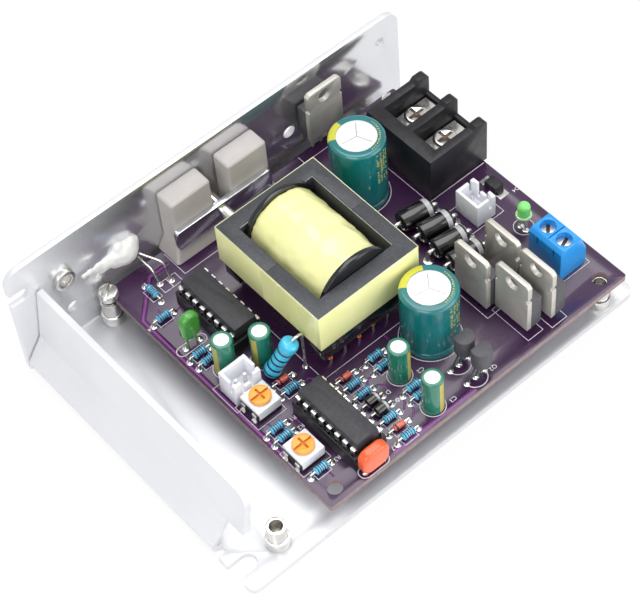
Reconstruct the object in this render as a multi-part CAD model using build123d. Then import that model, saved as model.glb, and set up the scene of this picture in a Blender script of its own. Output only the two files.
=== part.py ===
from build123d import *
from math import radians, tan
import os

# Power inverter board on a folded aluminium chassis, in millimetres.
# The origin is at the middle of the underside. +X runs along the tall wall from the open bay to the
# terminals, +Y from the open long side to the tall wall, +Z up.

# How far a cut runs past the face it opens
past = 1.0

# Sheet metal
sheet = 1.5
wall_height = 34.0
inner_bend = 0.4
wall_corner = 4.0
screw_slot = 3.8
wall_slot_depth = 5.0
wall_slot_height = 25.3
base_corner = 2.5
ear_width = 13.5
ear_slot_depth = 6.0
ear_slot_inset = 6.4
ear_slot_width = 4.4
ear_corner = 1.8
relief_width = 2.0
relief_depth = 2.4
flap_height = 24.0
flap_knee_height = 8.0
flap_slope = 54.0
flap_lean = 2.2
flap_bend = 0.9
flap_overhang = 6.5
flap_overhang_height = 10.5
flap_corner = 4.0
flap_lower_corner = 1.5
flap_wall_gap = 0.4
flap_trim = 0.2
dimple_radius = 2.6
dimple_depth = 0.5
left_dimple = (27.0, 28.8)
right_dimple = (32.7, 30.6)
wall_hole_radius = 1.7
small_wall_hole_radius = 1.2
left_wall_hole = (14.5, 10.5)
middle_wall_hole = (34.8, 18.2)
right_wall_hole = (5.9, 27.2)
wall_nut_place = (13.6, 22.0)
wall_nut_radius = 2.7
wall_nut_height = 1.3

# Layout along X: open bay, control zone, transformer, output zone, end margin
bay_length = 22.5
control_zone = 20.5
output_zone = 39.1
end_margin = 3.5

# Layout along Y: front zone, transformer, rear zone, gap to the wall
front_zone = 25.8
rear_zone = 17.4
wall_gap = 1.5

# Circuit board and what carries it
board_thick = 1.6
board_corner = 0.6
standoff_height = 7.2
standoff_radius = 2.25
collar_radius = 2.7
collar_height = 2.9
clinch_radius = 2.0
clinch_gap = 0.03
thread_radius = 1.5
thread_gap = 0.05
board_hole_radius = 1.85
left_hole_inset = 3.9
right_hole_inset = 5.0
edge_hole_inset = 3.4
screw_head_radius = 2.4
screw_head_height = 1.9
screw_head_edge = 0.6
screw_length = 6.0
screw_turn = 35.0
slot_width = 0.8
slot_depth = 0.9
corner_screw_overhang = 0.3
corner_screw_inset = 1.5
cover_post_x = 11.7
cover_post_y = 5.6

# Transformer
core_width = 28.4
core_half_length = 17.25
core_thick = 11.4
core_leg = 3.6
core_back = 4.0
core_post_radius = 4.9
core_lift = 10.3
tape = 0.15
bobbin_wall = 0.9
bobbin_slack = 0.15
flange_thick = 1.1
flange_side_gap = 0.4
winding_depth = 3.65
winding_bulge = 0.35
rail_height = 5.4
rail_inset = 0.4
rail_side_inset = 0.8
transformer_pin_radius = 0.4
transformer_pins = 6
transformer_pin_pitch = 4.2

# Large and small electrolytic capacitors
large_can_radius = 6.5
rear_can_height = 20.0
front_can_height = 17.6
sleeve_thick = 0.18
can_shoulder = 0.8
can_groove = 0.5
can_groove_height = 1.9
can_window_radius = 4.75
rear_can_inset = (27.2, 18.6)
front_can_offset = 10.4
front_can_row = 18.3
small_can_radius = 2.35
small_can_height = 11.0
small_can_window_radius = 1.75
left_small_cans = [(6.4, 42.7), (13.9, 38.8)]
middle_small_cans = [(-1.8, 15.0), (-1.9, 4.2)]

# Barrier terminal block
pole_pitch = 9.85
poles = 2
barrier_thick = 2.2
block_depth = 17.8
block_height = 13.0
block_ear_height = 13.9
block_ear_length = 3.4
block_ear_round = 1.4
block_deck_height = 6.4
block_back_wall = 3.6
block_lip_height = 1.6
block_lip_thick = 1.2
plate_thick = 0.8
plate_clearance = 0.4
block_screw_radius = 2.9
block_screw_head = 1.9
block_screw_thread = 1.6
block_screw_length = 5.0
cross_slot_margin = 0.8
block_overhang = 1.0
block_rear_inset = 9.8

# Small screw terminal
small_pitch = 5.08
terminal_right_inset = 4.0
terminal_front_inset = 9.1
terminal_depth = 8.0
terminal_height = 10.0
terminal_nose_height = 5.6
terminal_top_length = 5.4
terminal_back_bevel = 0.9
well_radius = 1.9
well_depth = 1.3
well_turns = [20.0, 45.0]
well_inset = 3.5
terminal_screw_gap = 0.1
terminal_screw_head = 1.4
terminal_screw_thread = 1.2
wire_hole_width = 3.4
wire_hole_height = 3.8
wire_hole_sill = 1.2
wire_hole_depth = 6.2
clamp_wall = 0.5
clamp_inset = 1.0
clamp_gap = 0.05

# Two-pin sockets
socket_length = 7.4
socket_depth = 5.7
socket_height = 7.0
socket_wall = 0.8
socket_floor = 1.6
socket_opening = 3.4
socket_opening_depth = 4.4
socket_tongue_width = 1.7
socket_tongue_drop = 2.2
socket_notch_width = 0.8
socket_notch_depth = 3.6
socket_notch_inset = 0.35
socket_pin = 0.64
socket_pin_pitch = 2.5
socket_pin_height = 4.6
output_socket_inset = (12.0, 36.5)
input_socket_inset = (5.5, 36.1)

# Chips in their sockets
pins_per_row = 8
chip_pitch = 2.54
chip_body_width = 6.4
chip_body_length = 19.3
chip_body_height = 3.3
chip_row_spacing = 7.62
chip_socket_width = 9.0
chip_socket_end = 0.55
chip_socket_height = 4.2
chip_socket_window = 3.6
chip_socket_bar = 1.8
chip_seat_gap = 0.5
chip_draft = 7.0
chip_column = 14.2
controller_row = 13.5
driver_row = 53.8
chip_leg_rise = 1.5
chip_leg_width = 1.3
chip_leg_tip = 0.65
chip_leg_thick = 0.25
chip_leg_plug = 1.0
chip_socket_hole = (0.75, 0.8, 1.2)
chip_notch_radius = 0.9
chip_notch_depth = 0.4

# Transistors in flat packages
tab_width = 10.2
tab_thick = 1.3
tab_height = 15.7
tab_hole_radius = 1.8
tab_hole_drop = 2.9
tab_corner = 0.8
package_height = 9.2
package_thick = 3.2
package_side_step = 0.1
lead_width = 0.8
lead_thick = 0.5
lead_pitch = 2.54
tab_notch = (0.5, 1.2)
tab_notch_rise = 0.6
output_lead_length = 2.0
wall_lead_length = 5.8
output_transistors = [(30.3, 18.9), (21.5, 18.5), (28.0, 8.4), (21.7, 7.3)]

# Transistors held to the wall
cap_width = 11.4
cap_height = 18.0
cap_depth = 5.8
cap_wall = 0.5
cap_round = 0.8
cap_slack = 0.15
cap_lift = 0.4
cap_gap = 5.1
cap_flare = 2.0
cap_flare_gap = 0.2
clamp_offset = -2.6
bar_thick = 1.5
bar_length = 27.8
bar_height = 6.3
bar_rise = 4.0
bar_offset = -0.6
bar_corner = 1.0
clamp_screw_offset = -0.9
clamp_screw_rise = 7.3
clamp_screw_reach = 3.2
clamp_head_radius = 2.8
clamp_head_height = 1.8
wall_transistor_inset = 23.5
wall_transistor_gap = 0.2

# Trimmers
trimmer_places = [(5.65, 29.5), (4.35, 13.7)]
trimmer_side = 6.4
trimmer_base_height = 3.0
trimmer_plate = 0.9
rotor_radius = 2.5
rotor_height = 1.1
rotor_stem_radius = 1.1
rotor_gap = 0.15
rotor_stem_depth = 1.5
rotor_slot_length = 5.2
rotor_cross_length = 3.3
rotor_slot_width = 0.55
rotor_slot_depth = 0.6
trimmer_leg_width = 1.4
trimmer_leg_thick = 0.4
trimmer_leg_height = 2.4
trimmer_leg_spread = 3.8
trimmer_foot_length = 0.35

# Other components
led_inset = (7.3, 25.6)
led_radius = 1.5
led_flange_radius = 1.9
led_flange_height = 0.8
led_height = 4.6
led_lift = 4.4
led_lead = 0.45
led_pitch = 1.6
surface_diode_inset = (3.95, 38.8)
surface_diode_length = 3.6
surface_diode_width = 2.7
surface_diode_height = 2.1
surface_tab = 0.7
surface_tab_width = 1.6
surface_tab_height = 0.5
rectifier_places = [(24.0, 43.9), (23.0, 38.4), (23.7, 32.9), (23.6, 27.6)]
rectifier_tilt = -8.0
diode_radius = 2.45
diode_length = 8.6
diode_lead = 0.6
diode_lift = 0.4
diode_reach = 1.4
diode_bevel = 0.3
signal_diode_rows = [13.5, 10.6]
signal_diode_radius = 1.25
signal_diode_length = 3.4
signal_diode_bevel = 0.2
resistor_radius = 1.0
resistor_waist = 0.82
resistor_length = 3.4
resistor_bulb = 0.85
resistor_shoulder = 0.28
resistor_lead = 0.25
resistor_lift = 0.25
resistor_span = 5.9
left_resistors = [(4.2, 22.6), (4.1, 19.8), (4.5, 8.4), (4.5, 49.4), (4.8, 46.6), (4.7, 62.6), (13.2, 28.2)]
upright_resistor = (7.2, 69.8)
middle_resistor_rows = [19.7, 16.4, 7.9, 2.1]
middle_column = -11.1
right_resistors = [(-2.7, 22.0), (-2.9, 19.0), (-2.0, 10.4), (-2.2, 7.85)]
glass_radius = 0.75
glass_length = 3.0
glass_bevel = 0.25
glass_rows = [22.4, 5.0]
left_glass = (13.2, 31.3)
power_resistor_foot = (12.5, 34.4)
power_resistor_radius = 2.1
power_resistor_waist = 1.85
power_resistor_length = 12.0
power_resistor_bulb = 2.4
power_resistor_shoulder = 0.65
power_resistor_lift = 1.2
power_resistor_lean = 26.0
power_resistor_heading = -37.0
power_resistor_lead = 0.35
power_resistor_loop = 2.6
film_place = (5.2, 52.9)
film_width = 5.0
film_height = 8.4
film_thick = 2.3
film_lift = 3.0
film_leg_inset = 0.4
dipped_across = 13.5
dipped_gap = 0.3
dipped_width = 7.4
dipped_height = 6.6
dipped_thick = 2.8
dipped_lift = 0.6
dipped_corner = 2.4
dipped_edge = 0.9
dipped_leg_inset = 1.2
signal_transistors = [(9.5, 8.2), (9.9, 3.3)]
small_package_radius = 2.3
small_package_flat = 1.3
small_package_height = 5.0
small_package_lift = 4.3
small_package_pitch = 1.27
small_package_shift = 1.7
small_package_pads = 2.54
thermistor_offset = (7.25, 17.3)
thermistor_radius = 4.2
thermistor_depth = 3.4
thermistor_pads = [(10.2, 71.0), (12.8, 70.0)]
wire_radius = 0.28
wire_bend = 2.0
wire_knee = 2.2
wire_exit = (2.6, -1.4)
wire_spread = 1.6

# Values worked out from those above
core_length = 2 * core_half_length + 2 * tape
transformer_width = core_width + 2 * tape
board_length = control_zone + transformer_width + output_zone
board_width = front_zone + core_length + rear_zone
chassis_length = bay_length + board_length + end_margin
chassis_width = board_width + wall_gap + sheet

left_end = -chassis_length / 2
right_end = chassis_length / 2
front_edge = -chassis_width / 2
rear_edge = chassis_width / 2
wall_face = rear_edge - sheet
board_left = left_end + bay_length
board_right = board_left + board_length
board_front = front_edge
board_rear = board_front + board_width
board_under = sheet + standoff_height
board_top = board_under + board_thick

core_left = board_left + control_zone + tape
core_middle_x = core_left + core_width / 2
core_front = board_front + front_zone + tape
core_middle_y = core_front + core_half_length
core_bottom = board_top + core_lift
core_axis = core_bottom + core_thick / 2

corner_screw = (board_left - corner_screw_overhang, board_rear - corner_screw_inset)
rear_screw = (board_right - left_hole_inset, board_rear - edge_hole_inset)
front_post = (board_right - right_hole_inset, board_front + edge_hole_inset)
empty_hole = (board_left + left_hole_inset, board_front + edge_hole_inset)
cover_post_place = (left_end + cover_post_x, front_edge + cover_post_y)


# Basic shapes
def block(x0, x1, y0, y1, z0, z1):
    middle = Pos((x0 + x1) / 2, (y0 + y1) / 2, (z0 + z1) / 2)
    return middle * Box(x1 - x0, y1 - y0, z1 - z0)


def rod(x, y, z0, z1, radius):
    return Pos(x, y, (z0 + z1) / 2) * Cylinder(radius, z1 - z0)


def rod_x(x0, x1, y, z, radius):
    return Pos((x0 + x1) / 2, y, z) * Rot(0, 90, 0) * Cylinder(radius, x1 - x0)


def rod_y(x, y0, y1, z, radius):
    return Pos(x, (y0 + y1) / 2, z) * Rot(90, 0, 0) * Cylinder(radius, y1 - y0)


def group(solids):
    return Compound(children=list(solids))


def on_board(place, side="left"):
    x = board_left + place[0] if side == "left" else board_right - place[0]
    return (x, board_front + place[1])


def mirrored(shape):
    return mirror(shape, about=Plane.XZ.offset(-core_middle_y))


# Folded chassis: base, tall wall, leaning flap and the slotted ear beside it
flap_front = front_edge + ear_width
flap_rear = wall_face - flap_wall_gap
fold_outer = flap_bend + sheet
fold_line = left_end + fold_outer


def base_and_wall():
    line = FilletPolyline(
        (front_edge, sheet / 2),
        (rear_edge - sheet / 2, sheet / 2),
        (rear_edge - sheet / 2, wall_height),
        radius=inner_bend + sheet / 2,
    )
    section = Plane.YZ * trace(line, sheet)
    shell = Pos(left_end, 0, 0) * extrude(section, amount=chassis_length)
    shell -= block(left_end - past, fold_line, flap_front, flap_rear, -past, sheet + past)
    return shell


def flap():
    corner_x = fold_line - (flap_bend + sheet / 2) / tan(radians(flap_slope / 2))
    knee_x = corner_x + flap_knee_height / tan(radians(flap_slope))
    line = FilletPolyline(
        (fold_line, sheet / 2),
        (corner_x, sheet / 2),
        (knee_x, sheet / 2 + flap_knee_height),
        (knee_x + flap_lean, flap_height),
        radius=flap_bend + sheet / 2,
    )
    section = Plane.XZ * trace(line, sheet)
    panel = Pos(0, flap_rear, 0) * extrude(section, amount=flap_rear - flap_front + flap_overhang)
    return panel & flap_outline()


def flap_outline():
    front = flap_front - flap_overhang
    outline = Polygon(
        (flap_front, -past),
        (flap_rear, -past),
        (flap_rear, flap_height - flap_trim),
        (front, flap_height - flap_trim),
        (front, flap_overhang_height),
        (flap_front, flap_overhang_height),
        align=None,
    )
    corners = outline.vertices().group_by(Axis.X)[0].sort_by(Axis.Y)
    outline = fillet(corners[1], flap_corner)
    outline = fillet(outline.vertices().group_by(Axis.Y)[1].sort_by(Axis.X)[0], flap_lower_corner)
    return Pos(left_end - past, 0, 0) * extrude(Plane.YZ * outline, amount=bay_length)


def slotted_ear():
    slot_y = front_edge + ear_slot_inset
    half = ear_slot_width / 2
    inner = left_end + ear_slot_depth - half
    slot = block(left_end - past, inner, slot_y - half, slot_y + half, -past, sheet + past)
    slot += rod(inner, slot_y, -past, sheet + past, half)
    end = left_end + relief_depth - relief_width / 2
    relief = block(left_end - past, end, flap_front - relief_width, flap_front, -past, sheet + past)
    relief += rod(end, flap_front - relief_width / 2, -past, sheet + past, relief_width / 2)
    return slot + relief


def wall_cuts():
    y0 = wall_face - past
    y1 = rear_edge + past
    inner = left_end + wall_slot_depth - screw_slot / 2
    low = wall_slot_height - screw_slot / 2
    cuts = block(left_end - past, inner, y0, y1, low, low + screw_slot)
    cuts += rod_y(inner, y0, y1, wall_slot_height, screw_slot / 2)
    cuts += rod_y(left_end + left_wall_hole[0], y0, y1, left_wall_hole[1], wall_hole_radius)
    cuts += rod_y(right_end - middle_wall_hole[0], y0, y1, middle_wall_hole[1], wall_hole_radius)
    cuts += rod_y(right_end - right_wall_hole[0], y0, y1, right_wall_hole[1], small_wall_hole_radius)
    cuts += rod_y(left_end + wall_nut_place[0], y0, y1, wall_nut_place[1], clinch_radius)
    cuts += rod_y(clamp_screw_x, y0, y1, clamp_screw_z, thread_radius)
    return cuts


def dimple(x, z, face):
    ball_radius = (dimple_radius**2 + dimple_depth**2) / (2 * dimple_depth)
    ball = Pos(x, face + ball_radius - dimple_depth, z) * Sphere(ball_radius)
    return ball & block(x - dimple_radius, x + dimple_radius, face - dimple_depth, face, 0, wall_height)


def chassis():
    shell = base_and_wall() + flap()
    shell -= slotted_ear()
    shell -= wall_cuts()
    for x, z in [(left_end + left_dimple[0], left_dimple[1]), (right_end - right_dimple[0], right_dimple[1])]:
        shell += dimple(x, z, wall_face)
        shell -= dimple(x, z, rear_edge)
    for place in [cover_post_place, corner_screw, rear_screw, front_post]:
        shell -= rod(place[0], place[1], -past, sheet + past, clinch_radius)
    return round_sheet_corners(shell)


def round_sheet_corners(shell):
    upright = shell.edges().filter_by(Axis.Z)
    base_edges = [e for e in upright if e.center().Z < sheet and e.center().X > right_end - past]
    shell = fillet([e for e in base_edges if e.center().Y < front_edge + past], base_corner)
    ear_edges = []
    for e in shell.edges().filter_by(Axis.Z):
        at_end = e.center().X < left_end + 0.01
        if at_end and e.center().Y < front_edge + ear_slot_inset:
            ear_edges.append(e)
    shell = fillet(ear_edges, ear_corner)
    top = [e for e in shell.edges().filter_by(Axis.Y) if e.center().Z > wall_height - 0.01]
    return fillet(top, wall_corner)


# Posts pressed into the base, and the screws that hold the board down
def post(place):
    x, y = place
    body = rod(x, y, 0, sheet, clinch_radius - clinch_gap)
    body += rod(x, y, sheet, sheet + collar_height, collar_radius)
    body += rod(x, y, sheet + collar_height, board_under, standoff_radius)
    return body - rod(x, y, sheet, board_under + past, thread_radius)


def board_screw(place):
    x, y = place
    head = rod(x, y, board_top, board_top + screw_head_height, screw_head_radius)
    head = fillet(head.edges().group_by(Axis.Z)[-1], screw_head_edge)
    top = board_top + screw_head_height
    groove = Box(2 * screw_head_radius + past, slot_width, slot_depth)
    head -= Pos(x, y, top - slot_depth / 2) * Rot(0, 0, screw_turn) * groove
    return head + rod(x, y, board_top - screw_length, board_top, thread_radius - thread_gap)


def wall_nut():
    x = left_end + wall_nut_place[0]
    z = wall_nut_place[1]
    nut = rod_y(x, wall_face - wall_nut_height, wall_face, z, wall_nut_radius)
    nut += rod_y(x, wall_face, rear_edge, z, clinch_radius - clinch_gap)
    return nut - rod_y(x, wall_face - wall_nut_height - past, rear_edge + past, z, thread_radius)


def circuit_board():
    board = block(board_left, board_right, board_front, board_rear, board_under, board_top)
    board = fillet(board.edges().filter_by(Axis.Z), board_corner)
    for x, y in [corner_screw, rear_screw, front_post, empty_hole]:
        board -= rod(x, y, board_under - past, board_top + past, board_hole_radius)
    return board


# Transformer: two core halves round a wound bobbin
window_front = core_front + core_back
window_rear = core_front + 2 * core_half_length - core_back
core_right = core_left + core_width


def core_half():
    y0 = core_front
    y1 = core_middle_y
    half = block(core_left, core_right, y0, window_front, core_bottom, core_bottom + core_thick)
    half += block(core_left, core_left + core_leg, y0, y1, core_bottom, core_bottom + core_thick)
    half += block(core_right - core_leg, core_right, y0, y1, core_bottom, core_bottom + core_thick)
    return half + rod_y(core_middle_x, y0, y1, core_axis, core_post_radius)


def core_tape():
    y1 = window_rear + core_back
    z0 = core_bottom
    z1 = core_bottom + core_thick
    band = block(core_left - tape, core_right + tape, core_front - tape, y1 + tape, z0, z1)
    band = fillet(band.edges().filter_by(Axis.Z), tape)
    return band - block(core_left, core_right, core_front, y1, z0 - past, z1 + past)


def bobbin():
    inner = core_post_radius + bobbin_slack
    outer = inner + bobbin_wall
    y0 = window_front + bobbin_slack
    y1 = window_rear - bobbin_slack
    half_width = core_width / 2 - core_leg - flange_side_gap
    rail_bottom = core_bottom - rail_height
    body = rod_y(core_middle_x, y0, y1, core_axis, outer)
    for near, far in [(y0, core_front + rail_inset), (y1, 2 * core_middle_y - core_front - rail_inset)]:
        inside = near + flange_thick if near < core_middle_y else near - flange_thick
        low, high = min(near, inside), max(near, inside)
        body += rod_y(core_middle_x, low, high, core_axis, half_width)
        foot = block(
            core_middle_x - half_width, core_middle_x + half_width, low, high, rail_bottom, core_axis
        )
        rail = block(
            core_left + rail_side_inset,
            core_right - rail_side_inset,
            min(inside, far),
            max(inside, far),
            rail_bottom,
            core_bottom - bobbin_slack,
        )
        body += foot
        body += rail
    return body - rod_y(core_middle_x, y0 - past, y1 + past, core_axis, inner)


def winding():
    gap = bobbin_slack + flange_thick
    y0 = window_front + gap
    y1 = window_rear - gap
    radius = core_post_radius + bobbin_slack + bobbin_wall
    middle = radius + winding_depth
    outline = Polyline((0, 0), (0, y1 - y0), (middle - winding_bulge, y1 - y0))
    outline += ThreePointArc(
        (middle - winding_bulge, y1 - y0), (middle, (y1 - y0) / 2), (middle - winding_bulge, 0)
    )
    outline += Line((middle - winding_bulge, 0), (0, 0))
    barrel = revolve(make_face(outline), Axis.Y)
    barrel -= rod_y(0, -past, y1 - y0 + past, 0, radius)
    return Pos(core_middle_x, y0, core_axis) * barrel


def bobbin_pins():
    half_span = (transformer_pins - 1) * transformer_pin_pitch / 2
    pins = []
    for y in [core_front + core_back / 2, 2 * core_middle_y - core_front - core_back / 2]:
        for i in range(transformer_pins):
            x = core_middle_x - half_span + i * transformer_pin_pitch
            pins.append(rod(x, y, board_top, core_bottom - rail_height, transformer_pin_radius))
    return group(pins)


# Electrolytic capacitors: an aluminium can in a shrunk sleeve that is open over the top
def can(x, y, radius, height, shoulder):
    body = rod(x, y, board_top, board_top + height, radius)
    return fillet(body.edges().group_by(Axis.Z)[-1], shoulder)


def grooved_can(x, y, radius, height, shoulder):
    groove = Pos(x, y, board_top + can_groove_height) * Torus(radius + can_groove / 2, can_groove)
    return can(x, y, radius, height, shoulder) - groove


def grooved_sleeve(x, y, radius, height, shoulder, window_radius):
    outer = grooved_can(x, y, radius + sleeve_thick, height + sleeve_thick, shoulder + sleeve_thick)
    inner = grooved_can(x, y, radius, height, shoulder)
    return outer - inner - rod(x, y, board_top + height / 2, board_top + height + past, window_radius)


def plain_sleeve(x, y, radius, height, shoulder, window_radius):
    outer = can(x, y, radius + sleeve_thick, height + sleeve_thick, shoulder + sleeve_thick)
    inner = can(x, y, radius, height, shoulder)
    return outer - inner - rod(x, y, board_top + height / 2, board_top + height + past, window_radius)


rear_can_place = (board_right - rear_can_inset[0], board_rear - rear_can_inset[1])
front_can_place = (core_middle_x + front_can_offset, board_front + front_can_row)


def small_can_places():
    places = [on_board(place) for place in left_small_cans]
    return places + [(core_middle_x + x, board_front + y) for x, y in middle_small_cans]


def small_cans():
    shoulder = can_shoulder * small_can_radius / large_can_radius
    return group(can(x, y, small_can_radius, small_can_height, shoulder) for x, y in small_can_places())


def small_sleeves():
    shoulder = can_shoulder * small_can_radius / large_can_radius
    sleeves = []
    for x, y in small_can_places():
        sleeve = plain_sleeve(x, y, small_can_radius, small_can_height, shoulder, small_can_window_radius)
        sleeves.append(sleeve)
    return group(sleeves)


# Barrier terminal block for the input cables
block_right = board_right + block_overhang
block_left = block_right - block_depth
block_length = poles * pole_pitch + barrier_thick
block_rear = board_rear - block_rear_inset
block_front = block_rear - block_length
deck_top = board_top + block_deck_height
plate_left = block_left + block_back_wall + plate_clearance
plate_right = block_right - block_lip_thick - plate_clearance


def bay_middle(i):
    return block_front + barrier_thick / 2 + (i + 0.5) * pole_pitch


def terminal_block():
    body = block(block_left, block_right, block_front, block_rear, board_top, deck_top)
    body += block(
        block_left, block_left + block_back_wall, block_front, block_rear, board_top, board_top + block_height
    )
    lip_left = block_right - block_lip_thick
    lip_top = deck_top + block_lip_height
    body += block(lip_left, block_right, block_front, block_rear, board_top, lip_top)
    for i in range(poles + 1):
        body += Pos(0, block_front + i * pole_pitch, 0) * barrier()
    for i in range(poles):
        x = (plate_left + plate_right) / 2
        depth = block_screw_length + plate_clearance
        body -= rod(x, bay_middle(i), deck_top - depth, deck_top + past, block_screw_thread + thread_gap)
    return body


def barrier():
    ear_left = block_right - block_ear_length
    rise = block_ear_height - block_height
    outline = Polygon(
        (block_left, 0),
        (block_right, 0),
        (block_right, block_ear_height),
        (ear_left, block_ear_height),
        (ear_left - rise, block_height),
        (block_left, block_height),
        align=None,
    )
    outline = fillet(outline.vertices().group_by(Axis.Y)[-1].sort_by(Axis.X)[-1], block_ear_round)
    return Pos(0, 0, board_top) * extrude(Plane.XZ * outline, amount=-barrier_thick)


def terminal_block_plates():
    half = pole_pitch / 2 - barrier_thick / 2 - plate_clearance
    x = (plate_left + plate_right) / 2
    plates = []
    for i in range(poles):
        y = bay_middle(i)
        plate = block(plate_left, plate_right, y - half, y + half, deck_top, deck_top + plate_thick)
        hole = rod(x, y, deck_top - past, deck_top + plate_thick + past, block_screw_thread + thread_gap)
        plates.append(plate - hole)
    return group(plates)


def terminal_block_screws():
    x = (plate_left + plate_right) / 2
    seat = deck_top + plate_thick
    screws = []
    for i in range(poles):
        y = bay_middle(i)
        head = rod(x, y, seat, seat + block_screw_head, block_screw_radius)
        head = fillet(head.edges().group_by(Axis.Z)[-1], screw_head_edge)
        top = Pos(x, y, seat + block_screw_head)
        cross = 2 * (block_screw_radius - cross_slot_margin)
        head -= top * Box(cross, slot_width, 2 * slot_depth)
        head -= top * Box(slot_width, cross, 2 * slot_depth)
        screws.append(head + rod(x, y, seat - block_screw_length, seat, block_screw_thread))
    return group(screws)


# Two-pole screw terminal for the output cables
terminal_right = board_right - terminal_right_inset
terminal_left = terminal_right - terminal_depth
terminal_front = board_front + terminal_front_inset
terminal_length = 2 * small_pitch
well_x = terminal_left + well_inset
cage_right = terminal_right - clamp_inset
cage_left = terminal_right - wire_hole_depth + clamp_gap
cage_bottom = board_top + wire_hole_sill + clamp_gap
cage_top = board_top + wire_hole_sill + wire_hole_height - clamp_gap


def pole_middle(i):
    return terminal_front + (i + 0.5) * small_pitch


def screw_terminal():
    top = terminal_height
    outline = Polygon(
        (terminal_left, 0),
        (terminal_right, 0),
        (terminal_right, terminal_nose_height),
        (terminal_left + terminal_back_bevel + terminal_top_length, top),
        (terminal_left + terminal_back_bevel, top),
        (terminal_left, top - terminal_back_bevel),
        align=None,
    )
    body = Pos(0, terminal_front, board_top) * extrude(Plane.XZ * outline, amount=-terminal_length)
    sill = board_top + wire_hole_sill
    ceiling = board_top + terminal_height
    for i in range(2):
        y = pole_middle(i)
        half = wire_hole_width / 2
        inner = terminal_right - wire_hole_depth
        body -= block(inner, terminal_right + past, y - half, y + half, sill, sill + wire_hole_height)
        body -= rod(well_x, y, ceiling - well_depth - terminal_screw_head, ceiling + past, well_radius)
        body -= rod(well_x, y, sill + past, ceiling, terminal_screw_thread + thread_gap)
    return body


def screw_terminal_screws():
    head_top = board_top + terminal_height - well_depth
    screws = []
    for i in range(2):
        y = pole_middle(i)
        radius = well_radius - terminal_screw_gap
        head = rod(well_x, y, head_top - terminal_screw_head, head_top, radius)
        slot = Box(2 * radius + past, slot_width, slot_depth)
        head -= Pos(well_x, y, head_top) * Rot(0, 0, well_turns[i]) * slot
        shank = rod(well_x, y, cage_top - clamp_wall, head_top - terminal_screw_head, terminal_screw_thread)
        screws.append(head + shank)
    return group(screws)


def screw_terminal_clamps():
    cages = []
    half = wire_hole_width / 2 - clamp_gap
    for i in range(2):
        y = pole_middle(i)
        cage = block(cage_left, cage_right, y - half, y + half, cage_bottom, cage_top)
        cage -= block(
            cage_left - past,
            cage_right + past,
            y - half + clamp_wall,
            y + half - clamp_wall,
            cage_bottom + clamp_wall,
            cage_top - clamp_wall,
        )
        cage -= rod(well_x, y, cage_top - 2 * clamp_wall, cage_top + past, terminal_screw_thread + thread_gap)
        cages.append(cage)
    return group(cages)


# Two-pin sockets for small plugs
def socket_shell():
    length = socket_length
    depth = socket_depth
    shell = block(-length / 2, length / 2, -depth / 2, depth / 2, 0, socket_height)
    shell -= block(
        socket_wall - length / 2,
        length / 2 - socket_wall,
        socket_wall - depth / 2,
        depth / 2 - socket_wall,
        socket_floor,
        socket_height + past,
    )
    shell -= Pos(0, depth / 2, socket_height) * Box(socket_opening, 2 * socket_wall, 2 * socket_opening_depth)
    tongue_top = socket_height - socket_tongue_drop
    half = socket_tongue_width / 2
    shell += block(-half, half, depth / 2 - socket_wall, depth / 2, socket_floor, tongue_top)
    notch = Box(2 * socket_wall + past, socket_notch_width, 2 * socket_notch_depth)
    notch_y = depth / 2 - socket_wall - socket_notch_inset - socket_notch_width / 2
    for side in (-1, 1):
        shell -= Pos(side * length / 2, notch_y, socket_height) * notch
        shell -= Pos(side * socket_pin_pitch / 2, 0, 0) * Box(socket_pin, socket_pin, 3 * socket_floor)
    return shell


def socket_pin_pair():
    pin = Box(socket_pin, socket_pin, socket_pin_height, align=(Align.CENTER, Align.CENTER, Align.MIN))
    return [Pos(side * socket_pin_pitch / 2, 0, 0) * pin for side in (-1, 1)]


output_socket_spot = Pos(*on_board(output_socket_inset, "right"), board_top) * Rot(0, 0, -90)
input_socket_spot = Pos(*on_board(input_socket_inset), board_top) * Rot(0, 0, 180)


# Sixteen-legged chips plugged into sockets
chip_socket_length = chip_body_length + 2 * chip_socket_end
controller_spot = Pos(board_left + chip_column, board_front + controller_row, board_top)
driver_spot = Pos(board_left + chip_column, board_front + driver_row, board_top)
chip_bottom = chip_socket_height + chip_seat_gap
leg_height = chip_bottom + chip_leg_rise


def chip_body():
    plan = Rectangle(chip_body_width, chip_body_length)
    body = extrude(plan, amount=chip_body_height - chip_leg_rise, taper=chip_draft)
    body += extrude(plan, amount=-chip_leg_rise, taper=chip_draft)
    body = Pos(0, 0, leg_height) * body
    top = chip_bottom + chip_body_height
    return body - rod(0, chip_body_length / 2, top - chip_notch_depth, top + past, chip_notch_radius)


def chip_socket():
    shell = Pos(0, 0, chip_socket_height / 2) * Box(chip_socket_width, chip_socket_length, chip_socket_height)
    bar = chip_socket_bar
    half = chip_socket_window / 2
    low = bar - chip_socket_length / 2
    shell -= block(-half, half, low, -bar / 2, -past, chip_socket_height + past)
    shell -= block(-half, half, bar / 2, -low, -past, chip_socket_height + past)
    hole = Box(chip_socket_hole[0], chip_socket_hole[1], 2 * chip_socket_hole[2])
    for y in leg_rows():
        for side in (-1, 1):
            shell -= Pos(side * chip_row_spacing / 2, y, chip_socket_height) * hole
    return shell


def leg_rows():
    half = (pins_per_row - 1) * chip_pitch / 2
    return [i * chip_pitch - half for i in range(pins_per_row)]


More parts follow.
